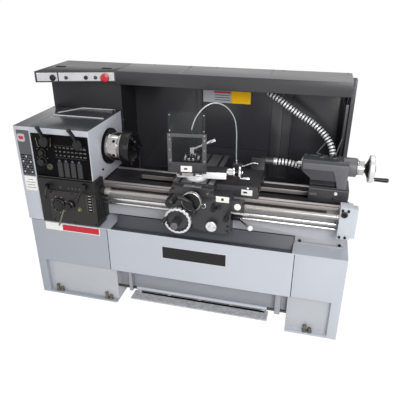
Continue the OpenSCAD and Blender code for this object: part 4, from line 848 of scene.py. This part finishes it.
def add_gearbox_markings():
    made = Piece("gearbox_markings")
    low, high = LOW["gearbox_cover"], HIGH["gearbox_cover"]
    cover, case = low.y, LOW["gearbox_case"].y
    # Striped scale beside the range lever
    scale = -0.574
    made.plate((scale, cover, 0.7), FRONT, 0.024, 0.11, 0.0004, BLACK)
    for k in range(6):
        made.plate((scale, cover - 0.0003, 0.745 - 0.0175 * k), FRONT, 0.018, 0.006, 0.0003, DIM)
    for x in (scale - 0.018, scale + 0.018):
        made.plate((x, cover, 0.7), FRONT, 0.0025, 0.118, 0.0005, STRIP)
    for k, x in enumerate((-0.815, -0.752, -0.7, -0.678, -0.656, -0.634)):
        made.number(k + 1, (x, case, 0.777), FRONT, 0.011, DIM)
    for k in range(9):
        made.plate(Vector((-0.77, cover, 0.67)) + 0.05 * spoke(40 * k + 20, Z, X), FRONT, 0.005, 0.005,
                   0.0004, PALE, 0.0015)
    # Small brass knob of the gearbox and the screws of its cover
    made.turned((-0.64, cover, 0.655), -Y,
                [(0, 0.012), (0.004, 0.012), (0.005, 0.009), (0.014, 0.008), (0.016, 0.006)], BEIGE, 24)
    for x in (low.x + 0.012, (low.x + high.x) / 2, high.x - 0.012):
        for z in (low.z + 0.012, high.z - 0.012):
            made.cap_screw((x, cover, z), -Y, 0.0055)
    made.done("white_plate")
    ribs = Piece("gearbox_side_ribs")
    side = LOW["gearbox_case"].x + 0.36
    for k in range(4):
        ribs.plate((side, -0.232 + 0.024 * k, 0.655), RIGHT, 0.008, 0.15, 0.004, GEARBOX, 0.003, 0.002)
    ribs.done("dark_paint")


def add_hood_labels():
    made = Piece("hood_labels")
    wall = 0.4257
    made.plate((0.005, wall, 1.185), FRONT, 0.18, 0.074, 0.0006, PALE, 0.002)
    made.plate((0.038, wall - 0.0005, 1.213), FRONT, 0.108, 0.012, 0.0003, CRIMSON)
    for k in range(3):
        made.plate((0.038, wall - 0.0005, 1.195 - 0.015 * k), FRONT, 0.096, 0.005, 0.0002, STRIP)
    made.plate((0.1545, wall, 1.185), FRONT, 0.118, 0.074, 0.0006, YELLOW, 0.003)
    made.done("white_plate")


def add_control_front():
    """Silver plates on the turned front of the control box, with the seam and marks between them"""
    made = Piece("control_front")
    face = (BOX_ALONG, Z)

    def on(along, dz, lift=0.0):
        return BOX + along * BOX_ALONG + dz * Z + lift * BOX_OUT

    middle = (LOW["control_box"].z + BOX_TOP) / 2 - BOX.z
    for start, end in ((0.012, 0.131), (0.139, 0.462)):
        made.plate(on((start + end) / 2, middle), face, end - start, 0.048, 0.0002, SILVER, 0.002)
        for x in (start + 0.006, end - 0.006):
            for dz in (-0.018, 0.018):
                made.button_screw(on(x, middle + dz, 0.0001), BOX_OUT, 0.0025)
    for along in (0.104, 0.297):
        for k in range(3):
            a = math.radians(-50 + 50 * k)
            made.plate(on(along + 0.023 * math.sin(a), 0.021 * math.cos(a), 0.0001), face, 0.003, 0.003,
                       0.0003, BLACK)
    made.done("white_plate")


def add_carriage_markings():
    made = Piece("carriage_markings")
    made.plate(front_at("saddle", 0.1815, 0.7975), FRONT, 0.071, 0.034, 0.0006, LABEL, 0.002)
    made.plate(front_at("saddle", 0.1815, 0.7975, 0.0005), FRONT, 0.014, 0.014, 0.0002, CHART, 0.002)
    made.plate((0.296, WING_FRONT, 0.8125), FRONT, 0.06, 0.033, 0.0006, LABEL, 0.002)
    made.plate((0.288, WING_FRONT - 0.0005, 0.8125), FRONT, 0.022, 0.01, 0.0002, CHART, 0.002)
    # Oilers and plugs
    for x, z in ((0.3, 0.837), (-0.09, 0.833)):
        made.turned((x, WING_FRONT, z), -Y, [(0, 0.006), (0.003, 0.006), (0.004, 0.004), (0.006, 0.003)],
                    CHROME, 20)
    made.turned((0.1, APRON_FRONT, 0.822), -Y, [(0, 0.007), (0.004, 0.007), (0.006, 0.005)], BEIGE, 20)
    for x, z in ((-0.1, 0.61), (0.215, 0.61), (-0.1, 0.785), (0.215, 0.64), (0.01, 0.61)):
        made.cap_screw((x, APRON_FRONT, z), -Y, 0.006)
    for x in (0.238, 0.292):
        for z in (0.746, 0.791):
            made.cap_screw((x, APRON_FRONT - 0.01, z), -Y, 0.004)
    for x in (-0.09, 0.122):
        made.cap_screw((x, APRON_FRONT, 0.833), -Y, 0.006)
    made.done("white_plate", "carriage")


# ---- Fine pieces -----------------------------------------

def add_leadscrew():
    """Threaded leadscrew with its collar, in place of the plain bar"""
    made = Piece("leadscrew_threaded")
    low, high = LOW["leadscrew"], HIGH["leadscrew"]
    axis = Vector((0, (low.y + high.y) / 2, (low.z + high.z) / 2))
    crest, root, pitch, steps, chamfer = 0.015, 0.0125, 0.006, 16, 0.001
    collar0, collar1 = LOW["gearbox_case"].x + 0.38, LOW["gearbox_case"].x + 0.414
    start, end = collar1 + 0.002, high.x - 0.06
    # Round the thread: its flank's points at shares of the pitch, and two points well inside the screw
    core = 0.65 * root
    profile = ((0.0, root), (0.12, crest), (0.5, crest), (0.62, root), (0.62, core), (0.0, core))
    rings = []
    for k in range(int((end - start) / pitch) * steps + 1):
        out = spoke(360 * k / steps)
        rings.append([axis + out * r + X * (start + pitch * (k / steps + t)) for t, r in profile])
    made.loft(rings, STEEL)

    def bar(x0, x1, profile, sides=40):
        made.turned(axis + X * x0, X, [(0, root), *profile, (x1 - x0, root)], STEEL, sides)

    bar(low.x, collar1, [(chamfer, crest), (collar0 - low.x, crest), (collar0 - low.x + 0.001, 0.021),
                         (collar0 - low.x + 0.002, 0.022), (collar1 - low.x - 0.002, 0.022),
                         (collar1 - low.x, 0.02)])
    bar(collar1 - 0.001, end - 0.001, [], 24)
    bar(end, high.x, [(chamfer, crest), (high.x - end - chamfer, crest)])
    made.done("ground_steel", "leadscrew", ["leadscrew"], sharp=25)


def add_rack():
    """Teeth under the front way, each tapering towards the operator"""
    made = Piece("rack_teeth")
    x0, x1 = LOW["headstock_case"].x + 0.4, LOW["end_bracket"].x - 0.065
    pitch, root, tip = 0.00942, -0.1168, -0.1212
    for k in range(int((x1 - x0) / pitch)):
        x = x0 + pitch * k
        outline = [(x, root), (x + 0.006, root), (x + 0.0042, tip), (x + 0.0018, tip)]
        made.loft([[Vector((*at, z)) for at in outline] for z in (0.7285, 0.7495)], IRON)
    made.done("cast_paint")


def add_screws():
    """Fasteners of panels and castings that stand still"""
    made = Piece("panel_screws")
    high = HIGH["hood"].z
    for x in (-0.4, 0.0, 0.4, 0.76):
        made.button_screw((x, HIGH["hood"].y - 0.012, high), Z, 0.004, DARK)
    for z in (0.72, 0.99, 1.26):
        made.button_screw((0.8, HIGH["hood"].y - 0.004, z), -Y, 0.004, DARK)
    lid0, lid1 = LOW["headstock_lid"], HIGH["headstock_lid"]
    for x in (lid0.x + 0.02, lid1.x - 0.02):
        for y in (lid0.y + 0.02, lid1.y - 0.02):
            made.cap_screw((x, y, lid1.z), Z, 0.006)
    for z in (0.62, 1.08):
        for y in (-0.2, 0.17):
            made.button_screw((LOW["end_cover"].x, y, z), -X, 0.005, STRIP)
    plug = (0.803, LOW["end_bracket"].y, 0.78)
    made.cap_screw(plug, -Y, 0.014)
    made.turned(plug, -Y, [(0, 0.018), (0.002, 0.018), (0.003, 0.016)], STRIP, 32)
    # Bright screw on the cabinet's side and dark screw on the headstock's
    made.button_screw((HIGH["electrical_cabinet"].x, 0.2175, 1.056), X, 0.0045)
    made.cap_screw((HIGH["headstock_case"].x, -0.107, 0.853), X, 0.007)
    made.done("black_oxide")


def add_lid_rim():
    """Bright rim strips of the tool tray on the headstock"""
    made = Piece("headstock_rim")
    z = HIGH["headstock_lid"].z
    lines = [[(-0.895, 0.01), (-0.572, 0.01)], [(-0.893, 0.061), (-0.8, 0.196), (-0.584, 0.2)]]
    for line in lines:
        points = [Vector((x, y, z + 0.0015)) for x, y in line]
        made.tube(resampled(points, 0.01), 0.0032, SILVER, 10)
    made.done("chrome")


def add_hood_trim():
    """Folded seams of the hood and the bar on its right side"""
    made = Piece("hood_trim")
    low, high = LOW["hood"], HIGH["hood"]
    for x in (-0.17, 0.33):
        made.block((x, low.y + 0.004, high.z - 0.001), (x + 0.012, high.y - 0.004, high.z + 0.0012), DARK)
    made.block((0.76, 0.205, 0.66), (0.7798, 0.24, 1.235), DARK, 0.003)
    for x in (-0.132, -0.099):
        made.block((x - 0.004, 0.4335, 0.7), (x + 0.004, 0.4385, 1.34), DARK, 0.0015)
    made.done("dark_paint")


def add_conduit():
    """Segmented metal conduit from the gland on the wall to the carriage's bracket"""
    route = [(0.33, 0.415, 1.235), (0.33, 0.39, 1.235), (0.342, 0.362, 1.232), (0.39, 0.345, 1.21),
             (0.45, 0.335, 1.172), (0.52, 0.325, 1.13), (0.595, 0.308, 1.092), (0.66, 0.285, 1.045),
             (0.709, 0.255, 0.99), (0.727, 0.225, 0.93), (0.71, 0.19, 0.89), (0.66, 0.168, 0.875),
             (0.595, 0.161, 0.876), (0.53, 0.16, 0.886), (0.48, 0.16, 0.895), (0.44, 0.16, 0.895),
             (0.407, 0.16, 0.895)]
    radius, pitch = 0.019, 0.0187
    line = smooth([Vector(p) for p in route], 12)
    length = sum((b - a).length for a, b in zip(line, line[1:]))
    count = round(length / pitch)
    path = resampled(line, length / (count * 8))    # eight points to a rib
    made = Piece("conduit_hose")
    made.tube(path[::2], radius * 0.86, OXIDE, 16)
    for k in range(count):
        rib = path[8 * k + 1:8 * k + 7]
        if len(rib) == 6:
            made.tube(rib, [radius * r for r in (0.88, 0.98, 1.0, 1.0, 0.98, 0.88)], RIB, 20)
    hose = made.done("chrome", None, ["conduit"], sharp=60)
    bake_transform(hose)
    gland = Piece("wall_gland")
    gland.turned(Vector(route[0]) + Y * 0.0225, -Y,
                 [(0, 0.022), (0.004, 0.0235), (0.008, 0.0235), (0.009, 0.0205), (0.016, 0.0205),
                  (0.018, 0.0195)], OXIDE, 6)
    gland.done("black_oxide")
    clamp = Piece("carriage_gland")
    clamp.turned(Vector(route[-1]) - X * 0.008, X,
                 [(0, 0.0195), (0, 0.0225), (0.003, 0.0235), (0.012, 0.0235), (0.015, 0.0225),
                  (0.015, 0.0195)], STEEL, 24, closed=True)
    clamp.done("black_oxide", "carriage")


def add_spout():
    """Coolant spout: block, thin tube in an arch, and a dark nozzle"""
    route = [(0.185, 0.115, 0.86), (0.182, 0.116, 0.93), (0.181, 0.115, 1.0), (0.178, 0.113, 1.08),
             (0.165, 0.104, 1.15), (0.13, 0.09, 1.205), (0.09, 0.072, 1.232), (0.05, 0.05, 1.236),
             (0.01, 0.028, 1.215), (-0.025, 0.005, 1.17), (-0.042, -0.01, 1.125), (-0.05, -0.02, 1.083)]
    z0 = LOW["coolant_spout"].z
    middle = HIGH["coolant_spout"].x - 0.028
    shift = Vector((middle - route[0][0] - 0.007, 0, 0))
    line = smooth([Vector(p) + shift for p in route], 10)
    made = Piece("coolant_tube")
    made.tube(line[:-4], 0.0038, HOSE, 14)
    made.turned(line[-6], (line[-1] - line[-6]).normalized(),
                [(0, 0.0045), (0.004, 0.0065), (0.02, 0.007), (0.024, 0.006), (0.04, 0.0045)],
                PLASTIC, 20)
    # Block with the tube's nut, an elbow's nut and a screw
    made.block((middle - 0.028, 0.1, z0), (middle + 0.028, 0.13, z0 + 0.034), CAST, 0.002)
    made.turned((line[0].x, line[0].y, z0 + 0.033), Z,
                [(0, 0.01), (0.006, 0.01), (0.007, 0.008), (0.016, 0.008), (0.018, 0.006)], CHROME, 24)
    made.turned((middle + 0.028, 0.115, z0 + 0.018), X,
                [(0, 0.007), (0.003, 0.007), (0.004, 0.005), (0.011, 0.005)], CHROME, 20)
    made.cap_screw((middle - 0.016, 0.115, z0 + 0.034), Z, 0.005)
    # Short hose to the bracket behind
    hose = [Vector((middle + x, y, z0 + z)) for x, y, z in (
        (0.034, 0.115, 0.018), (0.06, 0.116, 0.03), (0.09, 0.122, 0.04), (0.118, 0.128, 0.036))]
    made.tube(smooth(hose, 8), 0.0042, HOSE)
    made.done("black_plastic", "carriage", ["coolant_spout"])


def add_shield():
    """Chip shield: hinge rod, bottom plate, riveted frame and clear pane"""
    made = Piece("shield_frame_and_pane")
    z0, middle, half, y = 0.9179, -0.041, 0.102, -0.074
    left, right, sill, head, top = -half + 0.023, half - 0.022, 0.062, 0.2, 0.218

    def bar(x0, x1, low, high, front, back, material):
        """Block between two places, across the shield, up and towards the back"""
        x, y0 = COMPOUND.dot(ALONG) + middle, COMPOUND.dot(ACROSS) + y
        made.block((x + x0, y0 + front, z0 + low), (x + x1, y0 + back, z0 + high), material, 0.0006,
                   ALONG, ACROSS)

    for x0, x1 in ((-half, left), (right, half)):
        bar(x0, x1, 0.002, top, -0.0022, 0, CAST)
        bar(x0 + 0.001, x1 - 0.001, sill - 0.004, top - 0.001, -0.0032, -0.0022, STRIP)
    bar(left, right, 0.002, sill, -0.0022, 0, CAST)
    bar(left, right, head, top, -0.0022, 0, CAST)
    bar(-half + 0.001, half - 0.001, head, top - 0.001, -0.0034, -0.003, STRIP)
    bar(left, right, head + 0.0002, top - 0.0012, -0.003, -0.0022, STRIP)
    bar(-half + 0.006, half - 0.006, sill - 0.008, top, 0.0003, 0.0028, TINTED)
    bar(-half + 0.006, half - 0.006, top + 0.0001, top + 0.112, 0.0003, 0.0028, GLASS)
    screws = [(x, -0.0032, z) for x in (-half + 0.012, half - 0.011) for z in (0.072, 0.13, 0.185, 0.209)]
    screws += [(x, 0.0003, top + z) for x in (-half + 0.014, half - 0.014) for z in (0.014, 0.096)]
    for x, lift, z in screws:
        made.button_screw(compound(middle + x, y + lift, z0 + z), -ACROSS, 0.0034, STEEL)
    # Bare label, hinge rod and the two ears on it
    for x, lift, wide, high, thick, material in ((-0.004, 0.0022, 0.06, 0.034, 0.0005, LABEL),
                                                 (-0.008, 0.0026, 0.018, 0.01, 0.0002, CHART)):
        made.plate(compound(middle + x, y - lift, z0 + 0.026), (ALONG, Z), wide, high, thick, material,
                   0.002)
    made.turned(compound(middle - 0.058, y, z0 - 0.009), ALONG,
                [(0, 0.0035), (0.001, 0.004), (0.129, 0.004), (0.13, 0.0035)], STEEL, 24)
    for x in (-0.034, 0.038):
        bar(x - 0.006, x + 0.006, -0.013, 0.003, -0.004, 0, CAST)
    made.done("shield_frame", "chip_shield", ["chip_shield"])


def graduations(name, body, origin, axis, radius, count, width, number_every, number_size, material=BLACK):
    """Ticks round a dial, longer at each fifth; numbers are plain multiples of ten"""
    made = Piece(name)
    u, v = across(axis)
    sunk = 0.00005
    for k in range(count):
        out = spoke(360 * k / count, u, v)
        side = axis.cross(out)
        face, place = (side, -side.cross(out)), origin + out * (radius - sunk)
        long = width * (1.0 if k % 5 == 0 else 0.6)
        made.plate(place + axis * (long / 2), face, 0.0004, long, 0.0002, material, 0.0001)
        if k % number_every == 0:
            made.number(k // number_every * 10, place + axis * width * 1.5, face, number_size, material)
    made.done("white_plate", body)


def add_dials():
    """Graduated collars and the thread dial's face"""
    graduations("cross_dial_marks", "cross_crank", CRANK - Y * 0.0775, -Y, 0.052, 100, 0.008, 10, 0.004,
                PRINT)
    graduations("top_dial_marks", "top_slide_wheel", TOP_WHEEL + ALONG * 0.031, ALONG, 0.028, 80, 0.005, 20,
                0.003)
    graduations("tailstock_dial_marks", "tailstock_wheel", TAIL_END + X * 0.0062, X, 0.0371, 100, 0.006, 10,
                0.0035)
    made = Piece("thread_dial_marks")
    face = Vector((0.265, LOW["thread_dial"].y, 0.77))
    for k in range(8):
        out = spoke(45 * k, Z, X)
        made.plate(face + out * 0.0125, (out.cross(Y), out), 0.0009, 0.005, 0.0002, BLACK, 0.0002)
        if k % 2 == 0:
            made.number(k // 2 + 1, face + out * 0.0065, FRONT, 0.0055, BLACK)
    made.done("black_plate", "thread_dial")


def add_chuck_details():
    """Key sockets and face screws of the chuck, and the cam holes of the spindle nose, the holes drawn as
    black plates and discs: painted shade
    """
    made = Piece("chuck_details")
    x0, x1, r = LOW["chuck"].x, HIGH["chuck"].x, 0.098
    for k in range(3):
        out = spoke(160 + 120 * k)
        place = Vector((x1 - 0.019, 0, AXIS.z)) + out * r
        made.turned(place - out * 0.003, out, [(0, 0.0065), (0, 0.009), (0.0032, 0.009), (0.0036, 0.0085),
                                               (0.0036, 0.0065)], STRIP, closed=True)
        made.plate(place - out * 0.004, across(out), 0.012, 0.012, 0.0012, BLACK)
    for k in range(6):
        made.cap_screw(Vector((x1 - 0.0002, 0, AXIS.z)) + spoke(60 * k) * 0.084, X, 0.005)
        out = spoke(60 * k + 20)
        made.turned(Vector((x0 - 0.04, 0, AXIS.z)) + out * 0.0797, out,
                    [(0, 0.009), (0.0008, 0.009), (0.0009, 0.007)], BLACK, 20)
    made.done("black_oxide", "spindle")


def add_wipers():
    """Felt wipers with their plates at the ends of the saddle's wings"""
    made = Piece("way_wipers")
    for x, out in ((LOW["saddle"].x, -1), (0.355, 1)):
        for y in (-0.095, 0.095):
            for start, end, half, low, high, material, edge in (
                    (0, 0.0015, 0.034, 0.01, 0.034, STRIP, 0.0005),
                    (0.0015, 0.0045, 0.032, 0.0075, 0.016, RUBBER, 0.0008)):
                x0, x1 = sorted((x + out * start, x + out * end))
                made.block((x0, y - half, WAY_TOP + low), (x1, y + half, WAY_TOP + high), material, edge)
            for dy in (-0.024, 0.024):
                made.button_screw((x + out * 0.0015, y + dy, WAY_TOP + 0.026), out * X, 0.0035)
    made.done("black_oxide", "carriage")


def add_tailstock_details():
    """Plug, plate, oilers and screws of the tailstock, and the quill's scale"""
    made = Piece("tailstock_details")
    front = LOW["tailstock"].y
    made.turned((0.754, front, 0.835), -Y, [(0, 0.009), (0.004, 0.009), (0.006, 0.007)], PRINT, 24)
    made.plate((0.64, front, 0.822), FRONT, 0.04, 0.014, 0.0006, STRIP, 0.002)
    made.cap_screw((0.742, front, 0.805), -Y, 0.006)
    for x in (0.6, 0.7):
        made.turned((x, 0.03, 0.999), Z, [(0, 0.0055), (0.004, 0.0055), (0.0055, 0.003)], OXIDE, 20)
    for k in range(3):
        made.cap_screw(TAIL_END - X * 0.0001 + spoke(90 + 120 * k) * 0.041, X, 0.0045)
    made.done("black_oxide", "tailstock")
    scale = Piece("quill_scale")
    out = spoke(200)
    for k in range(41):
        place = Vector((0.566 + 0.0025 * k, 0, AXIS.z)) + out * 0.02795
        scale.plate(place, (X, out.cross(X)), 0.0004, 0.01 if k % 4 == 0 else 0.006, 0.0002, BLACK, 0.0001)
    scale.done("black_plate", "quill")


add_camera()
add_stage()
dress_plain()
dress_stand()
dress_headstock()
dress_carriage()
dress_tailstock()
add_stand_markings()
add_apron_wheel_rim()
add_end_cover_markings()
add_panel_markings()
add_gearbox_markings()
add_hood_labels()
add_control_front()
add_carriage_markings()
add_leadscrew()
add_rack()
add_screws()
add_lid_rim()
add_hood_trim()
add_conduit()
add_spout()
add_shield()
add_dials()
add_chuck_details()
add_wipers()
add_tailstock_details()
